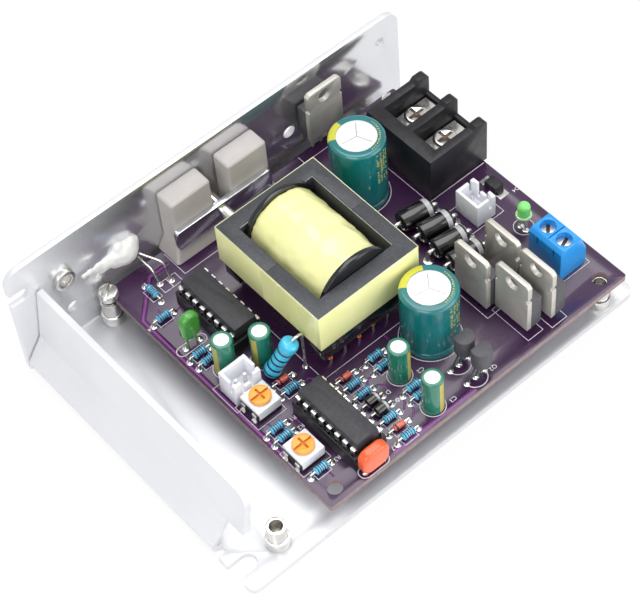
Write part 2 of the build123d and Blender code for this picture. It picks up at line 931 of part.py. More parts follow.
def chip_legs():
    thick = chip_leg_thick
    outer = chip_row_spacing / 2 + thick / 2
    inner = chip_body_width / 2
    half = chip_leg_width / 2
    half_tip = chip_leg_tip / 2
    top = leg_height + thick / 2
    low = chip_socket_height - chip_leg_plug
    legs = []
    for y in leg_rows():
        for side in (-1, 1):
            arm = block(inner, outer, y - half, y + half, top - thick, top)
            drop = block(outer - thick, outer, y - half, y + half, chip_socket_height, top)
            tip = block(outer - thick, outer, y - half_tip, y + half_tip, low, top)
            leg = arm + drop + tip
            legs.append(leg if side == 1 else mirror(leg, about=Plane.YZ))
    return legs


# Transistors in flat packages with a metal tab
def flat_package(lead_length):
    half = tab_width / 2
    step = package_side_step
    tab = block(0, tab_thick, -half, half, lead_length, lead_length + tab_height)
    top = [e for e in tab.edges().filter_by(Axis.X) if e.center().Z > lead_length + tab_height - 0.01]
    tab = chamfer(top, tab_corner)
    hole_z = lead_length + tab_height - tab_hole_drop
    tab -= rod_x(-past, tab_thick + past, 0, hole_z, tab_hole_radius)
    notch_bottom = lead_length + package_height + tab_notch_rise
    notch_depth, notch_length = tab_notch
    for side in (-1, 1):
        notch = Box(4 * tab_thick, 2 * notch_depth, notch_length)
        tab -= Pos(0, side * half, notch_bottom + notch_length / 2) * notch
    front = tab_thick + package_thick
    body = block(tab_thick, front, step - half, half - step, lead_length, lead_length + package_height)
    face = body.faces().sort_by(Axis.X)[-1]
    body = chamfer(face.edges(), 2 * package_side_step)
    x = tab_thick + package_thick / 2
    leads = []
    for i in (-1, 0, 1):
        lead = Box(lead_thick, lead_width, lead_length)
        leads.append(Pos(x, i * lead_pitch, lead_length / 2) * lead)
    return [tab] + leads, body


def output_transistor_spots():
    return [Pos(*on_board(place, "right"), board_top) for place in output_transistors]


def wall_transistor_spot():
    y = wall_face - wall_transistor_gap - tab_thick - package_thick
    return Pos(board_right - wall_transistor_inset, y, board_top) * Rot(0, 0, 90)


# Two transistors in insulating caps, held to the wall by one bar and one screw
clamp_middle = core_middle_x + clamp_offset
clamp_screw_x = clamp_middle + clamp_screw_offset
clamp_screw_z = board_top + clamp_screw_rise
cap_front = wall_face - cap_depth
cap_middles = [clamp_middle - (cap_gap + cap_width) / 2, clamp_middle + (cap_gap + cap_width) / 2]


def cap_mouth(x, wall, corner):
    mouth_bottom = board_top + cap_lift
    mouth_top = board_top + bar_rise - cap_flare_gap
    sections = []
    for z, flare in ((mouth_bottom, cap_flare), (mouth_top, 0)):
        width = cap_width + 2 * flare - 2 * wall
        depth = cap_depth + flare - 2 * wall
        middle = wall_face - wall - depth / 2
        sections.append(Pos(x, middle, z) * RectangleRounded(width, depth, corner))
    return loft(sections)


def insulating_cap(x):
    z0 = board_top + bar_rise - cap_flare_gap
    z1 = board_top + cap_lift + cap_height
    cap = block(x - cap_width / 2, x + cap_width / 2, cap_front, wall_face, z0, z1)
    rounded = cap.edges().filter_by(Axis.Z) + cap.edges().group_by(Axis.Z)[-1]
    cap = fillet(rounded, cap_round) + cap_mouth(x, 0, cap_round)
    half = cap_width / 2 - cap_wall
    cap -= block(x - half, x + half, cap_front + cap_wall, wall_face - cap_wall, z0 - past, z1 - cap_wall)
    return cap - cap_mouth(x, cap_wall, cap_round - cap_wall)


def insulating_caps():
    return group(insulating_cap(x) for x in cap_middles)


def clamped_transistors():
    lead_length = cap_lift + cap_height - cap_wall - cap_slack - tab_height
    pieces = []
    for x in cap_middles:
        metal, body = flat_package(lead_length)
        turn = Pos(x, wall_face - cap_wall - cap_slack, board_top) * Rot(0, 0, -90)
        pieces += [turn * piece for piece in metal + [body]]
    return group(pieces)


def clamp_bar():
    x0 = clamp_middle + bar_offset - bar_length / 2
    z0 = board_top + bar_rise
    y0 = cap_front - bar_thick
    bar = block(x0, x0 + bar_length, y0, cap_front, z0, z0 + bar_height)
    bar = fillet(bar.edges().filter_by(Axis.Y), bar_corner)
    return bar - rod_y(clamp_screw_x, y0 - past, cap_front + past, clamp_screw_z, thread_radius)


def clamp_screw():
    tip = cap_front - bar_thick - clamp_screw_reach
    shank = rod_y(clamp_screw_x, tip, rear_edge, clamp_screw_z, thread_radius - thread_gap)
    head = rod_y(clamp_screw_x, rear_edge, rear_edge + clamp_head_height, clamp_screw_z, clamp_head_radius)
    return shank + fillet(head.edges().group_by(Axis.Y)[-1], screw_head_edge)


# Trimmers: a turning rotor on a square body
def trimmer_spot(i):
    return Pos(*on_board(trimmer_places[i]), board_top)


def trimmer_body():
    side = trimmer_side
    base = Pos(0, 0, trimmer_base_height / 2) * Box(side, side, trimmer_base_height)
    plate = Pos(0, 0, trimmer_base_height + trimmer_plate / 2) * Box(side, side, trimmer_plate)
    hole = rotor_stem_radius + rotor_gap
    base -= rod(0, 0, trimmer_base_height - rotor_stem_depth, trimmer_base_height + past, hole)
    plate -= rod(0, 0, 0, trimmer_base_height + trimmer_plate + past, hole)
    return [base, plate]


def trimmer_rotor():
    seat = trimmer_base_height + trimmer_plate + rotor_gap
    top = seat + rotor_height
    rotor = rod(0, 0, seat, top, rotor_radius)
    rotor = chamfer(rotor.edges().group_by(Axis.Z)[-1], rotor_gap)
    rotor -= Pos(0, 0, top) * Box(rotor_slot_length, rotor_slot_width, 2 * rotor_slot_depth)
    rotor -= Pos(0, 0, top) * Box(rotor_slot_width, rotor_cross_length, 2 * rotor_slot_depth)
    return rotor + rod(0, 0, trimmer_base_height - rotor_stem_depth + rotor_gap, seat, rotor_stem_radius)


def trimmer_contacts():
    thick = trimmer_leg_thick
    edge = -trimmer_side / 2
    half = trimmer_leg_width / 2
    legs = []
    for y in (-trimmer_leg_spread / 2, trimmer_leg_spread / 2):
        leg = block(edge - thick, edge, y - half, y + half, 0, trimmer_leg_height)
        leg += block(edge - thick - trimmer_foot_length, edge - thick, y - half, y + half, 0, thick)
        legs.append(leg)
    legs.append(block(-edge, thick - edge, -half, half, 0, trimmer_leg_height))
    return legs


# Light, diodes, resistors and the other small components
def indicator_led():
    x, y = on_board(led_inset, "right")
    z = board_top + led_lift
    body = rod(x, y, z, z + led_flange_height, led_flange_radius)
    body += rod(x, y, z, z + led_height - led_radius, led_radius)
    return body + Pos(x, y, z + led_height - led_radius) * Sphere(led_radius)


def led_leads():
    x, y = on_board(led_inset, "right")
    leads = []
    for side in (-1, 1):
        lead = Box(led_lead, led_lead, led_lift)
        leads.append(Pos(x, y + side * led_pitch / 2, board_top + led_lift / 2) * lead)
    return group(leads)


def surface_diode():
    body = Box(surface_diode_width, surface_diode_length, surface_diode_height)
    tab = Box(surface_tab_width, surface_tab, surface_tab_height)
    reach = (surface_diode_length + surface_tab) / 2
    solid = Pos(0, 0, surface_diode_height / 2) * body
    for side in (-1, 1):
        solid += Pos(0, side * reach, surface_tab_height / 2) * tab
    return Pos(*on_board(surface_diode_inset, "right"), board_top) * solid


def bent_leads(inner, outer, axis_height, radius):
    leads = []
    for side in (-1, 1):
        line = FilletPolyline(
            (side * inner, 0, axis_height),
            (side * outer, 0, axis_height),
            (side * outer, 0, 0),
            radius=2 * radius,
        )
        start = Plane(origin=line @ 0, z_dir=line % 0)
        leads.append(sweep(start * Circle(radius), path=line))
    return leads


def axial(radius, length, lead, axis_height, span, bevel):
    body = rod_x(-length / 2, length / 2, 0, axis_height, radius)
    body = chamfer(body.edges().filter_by(GeomType.CIRCLE), bevel)
    return body + bent_leads(length / 2, span / 2, axis_height, lead)


def rectifier_diodes():
    axis_height = diode_radius + diode_lift
    span = diode_length + 2 * diode_reach
    diode = axial(diode_radius, diode_length, diode_lead, axis_height, span, diode_bevel)
    spots = [Pos(*on_board(place, "right"), board_top) for place in rectifier_places]
    return group(spot * Rot(0, 0, rectifier_tilt) * diode for spot in spots)


def middle_row(y):
    return Pos(core_middle_x + middle_column, board_front + y, board_top)


def signal_diodes():
    axis_height = signal_diode_radius + resistor_lift
    size = (signal_diode_radius, signal_diode_length, resistor_lead)
    diode = axial(*size, axis_height, resistor_span, signal_diode_bevel)
    return group(middle_row(y) * diode for y in signal_diode_rows)


def glass_diodes():
    axis_height = glass_radius + resistor_lift
    diode = axial(glass_radius, glass_length, resistor_lead, axis_height, resistor_span, glass_bevel)
    spots = [middle_row(y) for y in glass_rows] + [Pos(*on_board(left_glass), board_top)]
    return group(spot * diode for spot in spots)


def resistor():
    half = resistor_length / 2
    shoulder = half - resistor_shoulder
    bulb_end = half - resistor_bulb
    waist_end = bulb_end - resistor_shoulder
    outline = Polyline(
        (-half, 0),
        (-half, resistor_waist / 2),
        (-shoulder, resistor_radius),
        (-bulb_end, resistor_radius),
        (-waist_end, resistor_waist),
        (waist_end, resistor_waist),
        (bulb_end, resistor_radius),
        (shoulder, resistor_radius),
        (half, resistor_waist / 2),
        (half, 0),
        (-half, 0),
    )
    axis_height = resistor_radius + resistor_lift
    body = Pos(0, 0, axis_height) * revolve(make_face(outline), Axis.X)
    return body + bent_leads(half, resistor_span / 2, axis_height, resistor_lead)


def small_resistors():
    one = resistor()
    spots = [Pos(*on_board(place), board_top) for place in left_resistors]
    spots += [middle_row(y) for y in middle_resistor_rows]
    spots += [Pos(core_middle_x + x, board_front + y, board_top) for x, y in right_resistors]
    spots.append(Pos(*on_board(upright_resistor), board_top) * Rot(0, 0, 90))
    return group(spot * one for spot in spots)


def power_resistor():
    length = power_resistor_length
    radius = power_resistor_radius
    bulb = power_resistor_bulb
    shoulder = power_resistor_shoulder
    outline = Polyline(
        (0, 0),
        (radius - shoulder, 0),
        (radius, shoulder),
        (radius, bulb),
        (power_resistor_waist, bulb + shoulder),
        (power_resistor_waist, length - bulb - shoulder),
        (radius, length - bulb),
        (radius, length - shoulder),
        (radius - shoulder, length),
        (0, length),
        (0, 0),
    )
    body = revolve(make_face(Plane.XZ * outline), Axis.Z)
    lean = Pos(0, 0, power_resistor_lift) * Rot(0, 0, power_resistor_heading) * Rot(0, power_resistor_lean, 0)
    body = lean * body
    body += rod(0, 0, 0, power_resistor_lift + shoulder, power_resistor_lead)
    top = (lean * Pos(0, 0, length)).position
    peak = (lean * Pos(0, 0, length + 3 * power_resistor_lead)).position
    outer = peak + Vector(power_resistor_loop, 0, 0)
    line = FilletPolyline(
        tuple(top), tuple(peak), tuple(outer), (outer.X, outer.Y, 0), radius=2 * power_resistor_lead
    )
    start = Plane(origin=line @ 0, z_dir=line % 0)
    body += sweep(start * Circle(power_resistor_lead), path=line)
    return Pos(*on_board(power_resistor_foot), board_top) * body


def dipped_body(width, height, thick):
    face = RectangleRounded(width, height, min(dipped_corner, width / 2.1, height / 2.1))
    body = extrude(Plane.XZ * face, amount=thick / 2, both=True)
    return fillet(body.edges().filter_by(Plane.XZ), min(dipped_edge, thick / 2.1))


def with_legs(body, spread, lift):
    solid = body
    for side in (-1, 1):
        solid += rod(side * spread, 0, 0, lift + dipped_edge, resistor_lead)
    return solid


def film_capacitor():
    body = Pos(0, 0, film_lift + film_height / 2) * dipped_body(film_width, film_height, film_thick)
    spread = film_width / 2 - film_leg_inset - dipped_edge
    return Pos(*on_board(film_place), board_top) * with_legs(body, spread, film_lift)


def dipped_capacitor():
    body = Pos(0, 0, dipped_lift + dipped_height / 2) * dipped_body(dipped_width, dipped_height, dipped_thick)
    spread = dipped_width / 2 - dipped_leg_inset
    row = controller_row - chip_socket_length / 2 - dipped_gap - dipped_thick / 2
    return Pos(*on_board((dipped_across, row)), board_top) * with_legs(body, spread, dipped_lift)


def small_package():
    size = 2 * small_package_radius
    plan = Circle(small_package_radius) & Pos(0, small_package_flat - size / 2) * Rectangle(size, size)
    package = Pos(small_package_shift, 0, small_package_lift) * extrude(plan, amount=small_package_height)
    for i in (-1, 0, 1):
        top = Vector(small_package_shift + i * small_package_pitch, 0, small_package_lift)
        pad = Vector(i * small_package_pads, 0, 0)
        along = (pad - top).normalized() * resistor_lead
        line = Line(top - along, pad + along)
        start = Plane(origin=line @ 0, z_dir=line % 0)
        package += sweep(start * Circle(resistor_lead), path=line)
    reach = small_package_lift + small_package_height
    return package & block(-reach, reach, -reach, reach, 0, reach)


def signal_transistors_group():
    package = small_package()
    spots = [Pos(core_middle_x + x, board_front + y, board_top) for x, y in signal_transistors]
    return group(spot * package for spot in spots)


# Thermistor under a blob of sealant on the wall
thermistor_x = board_left + thermistor_offset[0]
thermistor_z = thermistor_offset[1]


def thermistor():
    ball_radius = (thermistor_radius**2 + thermistor_depth**2) / (2 * thermistor_depth)
    middle = wall_face - thermistor_depth + ball_radius
    blob = Pos(thermistor_x, middle, thermistor_z) * Sphere(ball_radius)
    reach = 2 * thermistor_radius
    return blob & block(
        thermistor_x - reach, thermistor_x + reach, wall_face - reach, wall_face, 0, wall_height
    )


def thermistor_wires():
    wires = []
    y = wall_face - thermistor_depth / 2
    blob = thermistor()
    for i, pad in enumerate(thermistor_pads):
        x, pad_y = on_board(pad)
        start = (thermistor_x + wire_exit[0], y, thermistor_z + wire_exit[1] + (i - 1) * wire_spread)
        knee = (x, pad_y + wire_knee, start[2] - wire_spread / 2)
        line = FilletPolyline(start, knee, (x, pad_y, board_top), radius=wire_bend)
        plane = Plane(origin=line @ 0, z_dir=line % 0)
        wire = sweep(plane * Circle(wire_radius), path=line)
        above = block(left_end, right_end, front_edge, rear_edge, board_top, wall_height)
        wires.append((wire - blob) & above)
    return group(wires)


def chip_leg_group():
    legs = chip_legs()
    return group([spot * leg for spot in (controller_spot, driver_spot) for leg in legs])


def build():
    front_half = core_half()
    socket = socket_shell()
    pins = socket_pin_pair()
    metal, package = flat_package(output_lead_length)
    wall_metal, wall_package = flat_package(wall_lead_length)
    spots = output_transistor_spots()
    parts = {
        "chassis": chassis(),
        "circuit_board": circuit_board(),
        "cover_post": post(cover_post_place),
        "board_standoffs": group(post(place) for place in (corner_screw, rear_screw, front_post)),
        "board_screws": group(board_screw(place) for place in (corner_screw, rear_screw)),
        "wall_nut": wall_nut(),
        "insulating_caps": insulating_caps(),
        "clamped_transistors": clamped_transistors(),
        "clamp_bar": clamp_bar(),
        "clamp_screw": clamp_screw(),
        "core_half_front": front_half,
        "core_half_rear": mirrored(front_half),
        "core_tape": core_tape(),
        "bobbin": bobbin(),
        "winding": winding(),
        "bobbin_pins": bobbin_pins(),
        "rear_capacitor_can": grooved_can(*rear_can_place, large_can_radius, rear_can_height, can_shoulder),
        "rear_capacitor_sleeve": grooved_sleeve(
            *rear_can_place, large_can_radius, rear_can_height, can_shoulder, can_window_radius
        ),
        "front_capacitor_can": grooved_can(
            *front_can_place, large_can_radius, front_can_height, can_shoulder
        ),
        "front_capacitor_sleeve": grooved_sleeve(
            *front_can_place, large_can_radius, front_can_height, can_shoulder, can_window_radius
        ),
        "small_capacitor_cans": small_cans(),
        "small_capacitor_sleeves": small_sleeves(),
        "terminal_block": terminal_block(),
        "terminal_block_plates": terminal_block_plates(),
        "terminal_block_screws": terminal_block_screws(),
        "screw_terminal": screw_terminal(),
        "screw_terminal_screws": screw_terminal_screws(),
        "screw_terminal_clamps": screw_terminal_clamps(),
        "output_socket": output_socket_spot * socket,
        "output_socket_pins": group(output_socket_spot * pin for pin in pins),
        "input_socket": input_socket_spot * socket,
        "input_socket_pins": group(input_socket_spot * pin for pin in pins),
        "controller_chip": controller_spot * chip_body(),
        "driver_chip": driver_spot * chip_body(),
        "controller_socket": controller_spot * chip_socket(),
        "driver_socket": driver_spot * chip_socket(),
        "chip_legs": chip_leg_group(),
        "output_transistor_tabs": group(spot * piece for spot in spots for piece in metal),
        "output_transistor_bodies": group(spot * package for spot in spots),
        "wall_transistor_tab": group(wall_transistor_spot() * piece for piece in wall_metal),
        "wall_transistor_body": wall_transistor_spot() * wall_package,
        "trimmer_body_1": group(trimmer_spot(0) * piece for piece in trimmer_body()),
        "trimmer_body_2": group(trimmer_spot(1) * piece for piece in trimmer_body()),
        "trimmer_rotor_1": trimmer_spot(0) * trimmer_rotor(),
        "trimmer_rotor_2": trimmer_spot(1) * trimmer_rotor(),
        "trimmer_contacts": group(trimmer_spot(i) * leg for i in (0, 1) for leg in trimmer_contacts()),
        "indicator_led": indicator_led(),
        "led_leads": led_leads(),
        "surface_diode": surface_diode(),
        "rectifier_diodes": rectifier_diodes(),
        "signal_diodes": signal_diodes(),
        "glass_diodes": glass_diodes(),
        "small_resistors": small_resistors(),
        "power_resistor": power_resistor(),
        "film_capacitor": film_capacitor(),
        "dipped_capacitor": dipped_capacitor(),
        "signal_transistors": signal_transistors_group(),
        "thermistor": thermistor(),
        "thermistor_wires": thermistor_wires(),
    }
    return parts


if __name__ == "__main__":
    os.makedirs("parts", exist_ok=True)
    for name, part in build().items():
        export_step(part, "parts/" + name + ".step")
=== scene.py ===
import math
import random
from itertools import product

import bpy
from mathutils import Matrix, Vector


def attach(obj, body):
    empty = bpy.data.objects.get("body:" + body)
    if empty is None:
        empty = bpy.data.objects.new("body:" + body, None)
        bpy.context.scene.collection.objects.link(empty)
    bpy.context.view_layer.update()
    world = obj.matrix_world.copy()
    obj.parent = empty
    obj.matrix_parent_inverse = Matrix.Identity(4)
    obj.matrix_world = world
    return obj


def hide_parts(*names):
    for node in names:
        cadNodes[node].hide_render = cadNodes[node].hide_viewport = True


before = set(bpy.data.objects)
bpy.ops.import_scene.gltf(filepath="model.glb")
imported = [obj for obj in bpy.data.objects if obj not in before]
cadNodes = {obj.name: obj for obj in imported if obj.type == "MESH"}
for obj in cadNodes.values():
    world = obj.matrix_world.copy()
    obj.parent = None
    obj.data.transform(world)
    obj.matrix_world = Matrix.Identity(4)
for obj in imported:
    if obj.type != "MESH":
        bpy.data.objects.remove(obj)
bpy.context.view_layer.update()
random.seed(11)
mm = 0.001  # new pieces are drawn in millimetres and settled in metres


# Tools that select, shape, join and place pieces
def selectOnly(piece):
    bpy.ops.object.select_all(action="DESELECT")
    piece.select_set(True)
    bpy.context.view_layer.objects.active = piece


def editMode(piece):
    selectOnly(piece)
    bpy.ops.object.mode_set(mode="EDIT")
    bpy.ops.mesh.select_mode(type="VERT")
    bpy.ops.mesh.select_all(action="SELECT")


def objectMode():
    bpy.ops.object.mode_set(mode="OBJECT")


def applyModifier(piece, kind, **settings):
    selectOnly(piece)
    modifier = piece.modifiers.new(kind.title(), kind)
    for key, value in settings.items():
        setattr(modifier, key, value)
    bpy.ops.object.modifier_apply(modifier=modifier.name)


def roundEdges(piece, width, segments=2, angle=32):
    limit = math.radians(angle)
    applyModifier(piece, "BEVEL", width=width, segments=segments, limit_method="ANGLE", angle_limit=limit)


def smoothFaces(piece, angle=38):
    selectOnly(piece)
    bpy.ops.object.shade_smooth_by_angle(angle=math.radians(angle))


def placed(name, data):
    piece = bpy.data.objects.new(name, data)
    bpy.context.scene.collection.objects.link(piece)
    return piece


def meshFrom(curve):
    selectOnly(placed(curve.name, curve))
    bpy.ops.object.convert(target="MESH")
    return bpy.context.object


def newObject(name, points, edges, faces):
    mesh = bpy.data.meshes.new(name)
    mesh.from_pydata(points, edges, faces)
    return placed(name, mesh)


def blockPiece(x0, x1, y0, y1, z0, z1, edge=0.0, segments=2):
    bpy.ops.object.select_all(action="DESELECT")
    bpy.ops.mesh.primitive_cube_add(size=1, location=((x0 + x1) / 2, (y0 + y1) / 2, (z0 + z1) / 2))
    piece = bpy.context.object
    piece.scale = (x1 - x0, y1 - y0, z1 - z0)
    bpy.ops.object.transform_apply(location=True, rotation=True, scale=True)
    if edge:
        roundEdges(piece, edge, segments)
    return piece


def turnPiece(profile, steps):
    edges = [(i, i + 1) for i in range(len(profile) - 1)]
    piece = newObject("turned", [(r, 0, z) for r, z in profile], edges, [])
    editMode(piece)
    bpy.ops.mesh.spin(steps=steps, angle=2 * math.pi, center=(0, 0, 0), axis=(0, 0, 1))
    bpy.ops.mesh.select_all(action="SELECT")
    bpy.ops.mesh.remove_doubles(threshold=0.002)
    bpy.ops.mesh.normals_make_consistent(inside=False)
    objectMode()
    return piece


def newCurve(name, radius, resolution):
    curve = bpy.data.curves.new(name, "CURVE")
    curve.dimensions = "3D"
    curve.bevel_depth = radius
    curve.bevel_resolution = resolution
    curve.use_fill_caps = True
    return curve


def addSpline(curve, kind, points):
    spline = curve.splines.new(kind)
    spline.points.add(len(points) - 1)
    for point, place in zip(spline.points, points):
        point.co = (*place, 1)
    return spline


def tubeAlong(points, radius, smooth=True, resolution=3, steps=6):
    curve = newCurve("wire", radius, resolution)
    curve.resolution_u = steps
    spline = addSpline(curve, "NURBS" if smooth else "POLY", points)
    if smooth:
        spline.order_u = 3
        spline.use_endpoint_u = True
    return meshFrom(curve)


def moved(piece, x=0.0, y=0.0, z=0.0, turn=0.0):
    piece.data.transform(Matrix.Translation((x, y, z)) @ Matrix.Rotation(math.radians(turn), 4, "Z"))
    return piece


def copyAt(template, x, y, z=0.0, turn=0.0):
    return moved(placed(template.name, template.data.copy()), x, y, z, turn)


def joined(pieces):
    bpy.ops.object.select_all(action="DESELECT")
    for piece in pieces:
        piece.select_set(True)
    bpy.context.view_layer.objects.active = pieces[0]
    if len(pieces) > 1:
        bpy.ops.object.join()
    return pieces[0]


def dropPiece(piece):
    bpy.data.objects.remove(piece, do_unlink=True)


def giveFinish(piece, *finishes):
    piece.data.materials.clear()
    for finish in finishes:
        piece.data.materials.append(finish)


# the outline with a ring at every stop, so that each band ends on an edge
def throughStops(points, cuts):
    stops = sorted({z for _, z in points} | set(cuts))
    profile = []
    for stop in stops:
        for (r0, z0), (r1, z1) in zip(points, points[1:]):
            if z0 <= stop <= z1 and z1 > z0:
                profile.append((r0 + (r1 - r0) * (stop - z0) / (z1 - z0), stop))
                break
    return profile


# a turned body lying along X, with a finish for each band between two places
def axialBody(points, bands, finishes, steps):
    cuts = [x for x0, x1, _ in bands for x in (x0, x1)]
    body = turnPiece(throughStops(points, cuts), steps)
    body.data.transform(Matrix.Rotation(math.radians(90), 4, "Y"))
    smoothFaces(body, 50)
    giveFinish(body, *finishes)
    for face in body.data.polygons:
        slots = [slot for x0, x1, slot in bands if x0 < face.center.x < x1]
        face.material_index = slots[0] if slots else 0
    return body


def bentLeads(inner, outer, height, radius, bend):
    leads = []
    for side in (-1, 1):
        points = [(inner - 0.2, 0, height), (outer - bend, 0, height), (outer, 0, height),
                  (outer, 0, height - bend), (outer, 0, 0.05)]
        leads.append(tubeAlong([(side * x, y, z) for x, y, z in points], radius, resolution=2, steps=5))
        smoothFaces(leads[-1], 60)
        giveFinish(leads[-1], tinnedLead)
    return leads


# flat raised lines that follow paths at one height
def lineWork(paths, width, rise, height, finish):
    curve = newCurve("lines", width / 2, 0)
    curve.twist_mode = "Z_UP"
    for points, closed in paths:
        addSpline(curve, "POLY", [(x, y, 0) for x, y in points]).use_cyclic_u = closed
    piece = meshFrom(curve)
    flat = Matrix.Diagonal((1, 1, 2 * rise / width, 1))
    piece.data.transform(Matrix.Translation((0, 0, height)) @ flat)
    giveFinish(piece, finish)
    return piece


def boxPath(x0, x1, y0, y1):
    return ([(x0, y0), (x1, y0), (x1, y1), (x0, y1)], True)


def ringPath(x, y, radius, start=0, end=360, steps=40):
    closed = end - start >= 360
    count = steps if closed else steps + 1
    angles = [math.radians(start + (end - start) * i / steps) for i in range(count)]
    return ([(x + radius * math.cos(a), y + radius * math.sin(a)) for a in angles], closed)


def ovalPath(x, y, reach, half):
    points = []
    for side, centre in ((1, reach - half), (-1, half - reach)):
        start = -90 if side == 1 else 90
        arc, _ = ringPath(x + centre, y, half, start, start + 180, 14)
        points += arc
    return (points, True)


def printText(label, x, y, size=1.5, turn=180):
    curve = bpy.data.curves.new("label", "FONT")
    curve.body = label
    curve.size = size
    curve.align_x = "CENTER"
    curve.align_y = "CENTER"
    curve.extrude = 0.015
    curve.resolution_u = 2
    piece = meshFrom(curve)
    giveFinish(piece, printWhite)
    return moved(piece, x, y, boardTop, turn)


# a thin patch on a turned surface, from one heading to another
def sleevePatch(x, y, profile, start, end, steps, finish):
    count = len(profile)
    points = []
    for i in range(steps + 1):
        angle = math.radians(start + (end - start) * i / steps)
        points += [(x + r * math.cos(angle), y + r * math.sin(angle), z) for r, z in profile]
    faces = [(i * count + j, (i + 1) * count + j, (i + 1) * count + j + 1, i * count + j + 1)
             for i in range(steps) for j in range(count - 1)]
    piece = newObject("patch", points, [], faces)
    applyModifier(piece, "SOLIDIFY", thickness=0.03, offset=0)
    smoothFaces(piece, 60)
    giveFinish(piece, finish)
    return piece


# gives a finished piece its name and body
def settle(piece, name, body="root", instead=(), scale=mm):
    if scale != 1:
        piece.data.transform(Matrix.Scale(scale, 4))
    piece.name = name
    piece.data.name = name
    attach(piece, body)
    if instead:
        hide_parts(*instead)
    return piece


# a copy of a CAD node with merged faces, rounded edges and its finish
def dressed(node, name, finish, edge, body="root", smooth=38):
    piece = placed(name, cadNodes[node].data.copy())
    editMode(piece)
    bpy.ops.mesh.customdata_custom_splitnormals_clear()
    bpy.ops.mesh.remove_doubles(threshold=0.000002)
    bpy.ops.mesh.dissolve_limited(angle_limit=math.radians(0.4), delimit={"NORMAL"})
    objectMode()
    if edge:
        roundEdges(piece, edge * mm)
    smoothFaces(piece, smooth)
    giveFinish(piece, *(finish if isinstance(finish, (list, tuple)) else [finish]))
    return settle(piece, name, body, (node,), 1)


# Finishes: the shared shader groups, then one material for each surface
def tone(red, green, blue):
    def linear(value):
        value /= 255
        return value / 12.92 if value <= 0.04045 else ((value + 0.055) / 1.055) ** 2.4
    return (linear(red), linear(green), linear(blue), 1)


def newGroup(name, inputs, outputs):  # inputs by name with a value, outputs by name with a kind
    group = bpy.data.node_groups.new(name, "ShaderNodeTree")
    for label, value in inputs.items():
        kind = "NodeSocketColor" if isinstance(value, tuple) else "NodeSocketFloat"
        group.interface.new_socket(name=label, in_out="INPUT", socket_type=kind).default_value = value
    for label, kind in outputs.items():
        group.interface.new_socket(name=label, in_out="OUTPUT", socket_type="NodeSocket" + kind)
    return group, group.nodes.new("NodeGroupInput").outputs, group.nodes.new("NodeGroupOutput").inputs


def noiseIn(group, scaleSocket, detail=4, stretch=None):
    nodes, links = group.nodes, group.links
    place = nodes.new("ShaderNodeTexCoord").outputs["Object"]
    if stretch:
        mapping = nodes.new("ShaderNodeMapping")
        mapping.inputs["Scale"].default_value = stretch
        links.new(place, mapping.inputs["Vector"])
        place = mapping.outputs["Vector"]
    noise = nodes.new("ShaderNodeTexNoise")
    noise.inputs["Detail"].default_value = detail
    links.new(place, noise.inputs["Vector"])
    if scaleSocket is not None:
        links.new(scaleSocket, noise.inputs["Scale"])
    return noise


def feed(tree, socket, value):  # a number or a tone is set on the socket, an output is linked to it
    if isinstance(value, (int, float, tuple)):
        socket.default_value = value
    else:
        tree.links.new(value, socket)


def rangeIn(tree, value, low, high, toLow=0.0, toHigh=1.0):
    node = tree.nodes.new("ShaderNodeMapRange")
    for label, number in (("From Min", low), ("From Max", high), ("To Min", toLow), ("To Max", toHigh),
                          ("Value", value)):
        feed(tree, node.inputs[label], number)
    return node.outputs["Result"]


def mathIn(tree, operation, first, second=0.0):
    node = tree.nodes.new("ShaderNodeMath")
    node.operation = operation
    feed(tree, node.inputs[0], first)
    feed(tree, node.inputs[1], second)
    return node.outputs[0]


def mixIn(tree, factor, first, second):
    node = tree.nodes.new("ShaderNodeMix")
    node.data_type = "RGBA"
    for index, value in ((0, factor), (6, first), (7, second)):
        feed(tree, node.inputs[index], value)
    return node.outputs[2]


def makeMottle():
    group, entry, leave = newGroup(
        "mottle", dict(Base=(0.5, 0.5, 0.5, 1), Shade=(0.4, 0.4, 0.4, 1), Scale=200.0, Amount=0.5),
        dict(Color="Color"),
    )
    cloud = rangeIn(group, noiseIn(group, entry["Scale"]).outputs["Fac"], 0.38, 0.66)
    mask = mathIn(group, "MULTIPLY", cloud, entry["Amount"])
    group.links.new(mixIn(group, mask, entry["Base"], entry["Shade"]), leave["Color"])
    return group


def makeGrain():
    group, entry, leave = newGroup(
        "surfaceGrain", dict(Scale=2000.0, Roughness=0.4, Spread=0.1), dict(Roughness="Float", Height="Float"),
    )
    low = mathIn(group, "SUBTRACT", entry["Roughness"], entry["Spread"])
    high = mathIn(group, "ADD", entry["Roughness"], entry["Spread"])
    wide = noiseIn(group, mathIn(group, "MULTIPLY", entry["Scale"], 0.12))
    group.links.new(rangeIn(group, wide.outputs["Fac"], 0.3, 0.7, low, high), leave["Roughness"])
    group.links.new(noiseIn(group, entry["Scale"], 6).outputs["Fac"], leave["Height"])
    return group


def makeDust():
    group, entry, leave = newGroup(
        "settledDust", dict(Color=(0.5, 0.5, 0.5, 1), Dust=(0.6, 0.58, 0.55, 1), Amount=0.1),
        dict(Color="Color"),
    )
    normal = group.nodes.new("ShaderNodeNewGeometry").outputs["Normal"]
    split = group.nodes.new("ShaderNodeSeparateXYZ")
    group.links.new(normal, split.inputs[0])
    upward = rangeIn(group, split.outputs["Z"], 0.4, 1.0)
    specks = noiseIn(group, None, 8)
    specks.inputs["Scale"].default_value = 1400
    mask = mathIn(group, "MULTIPLY", upward, rangeIn(group, specks.outputs["Fac"], 0.45, 0.75))
    mask = mathIn(group, "MULTIPLY", mask, entry["Amount"])
    group.links.new(mixIn(group, mask, entry["Color"], entry["Dust"]), leave["Color"])
    return group


effects = {"mottle": makeMottle(), "grain": makeGrain(), "dust": makeDust()}


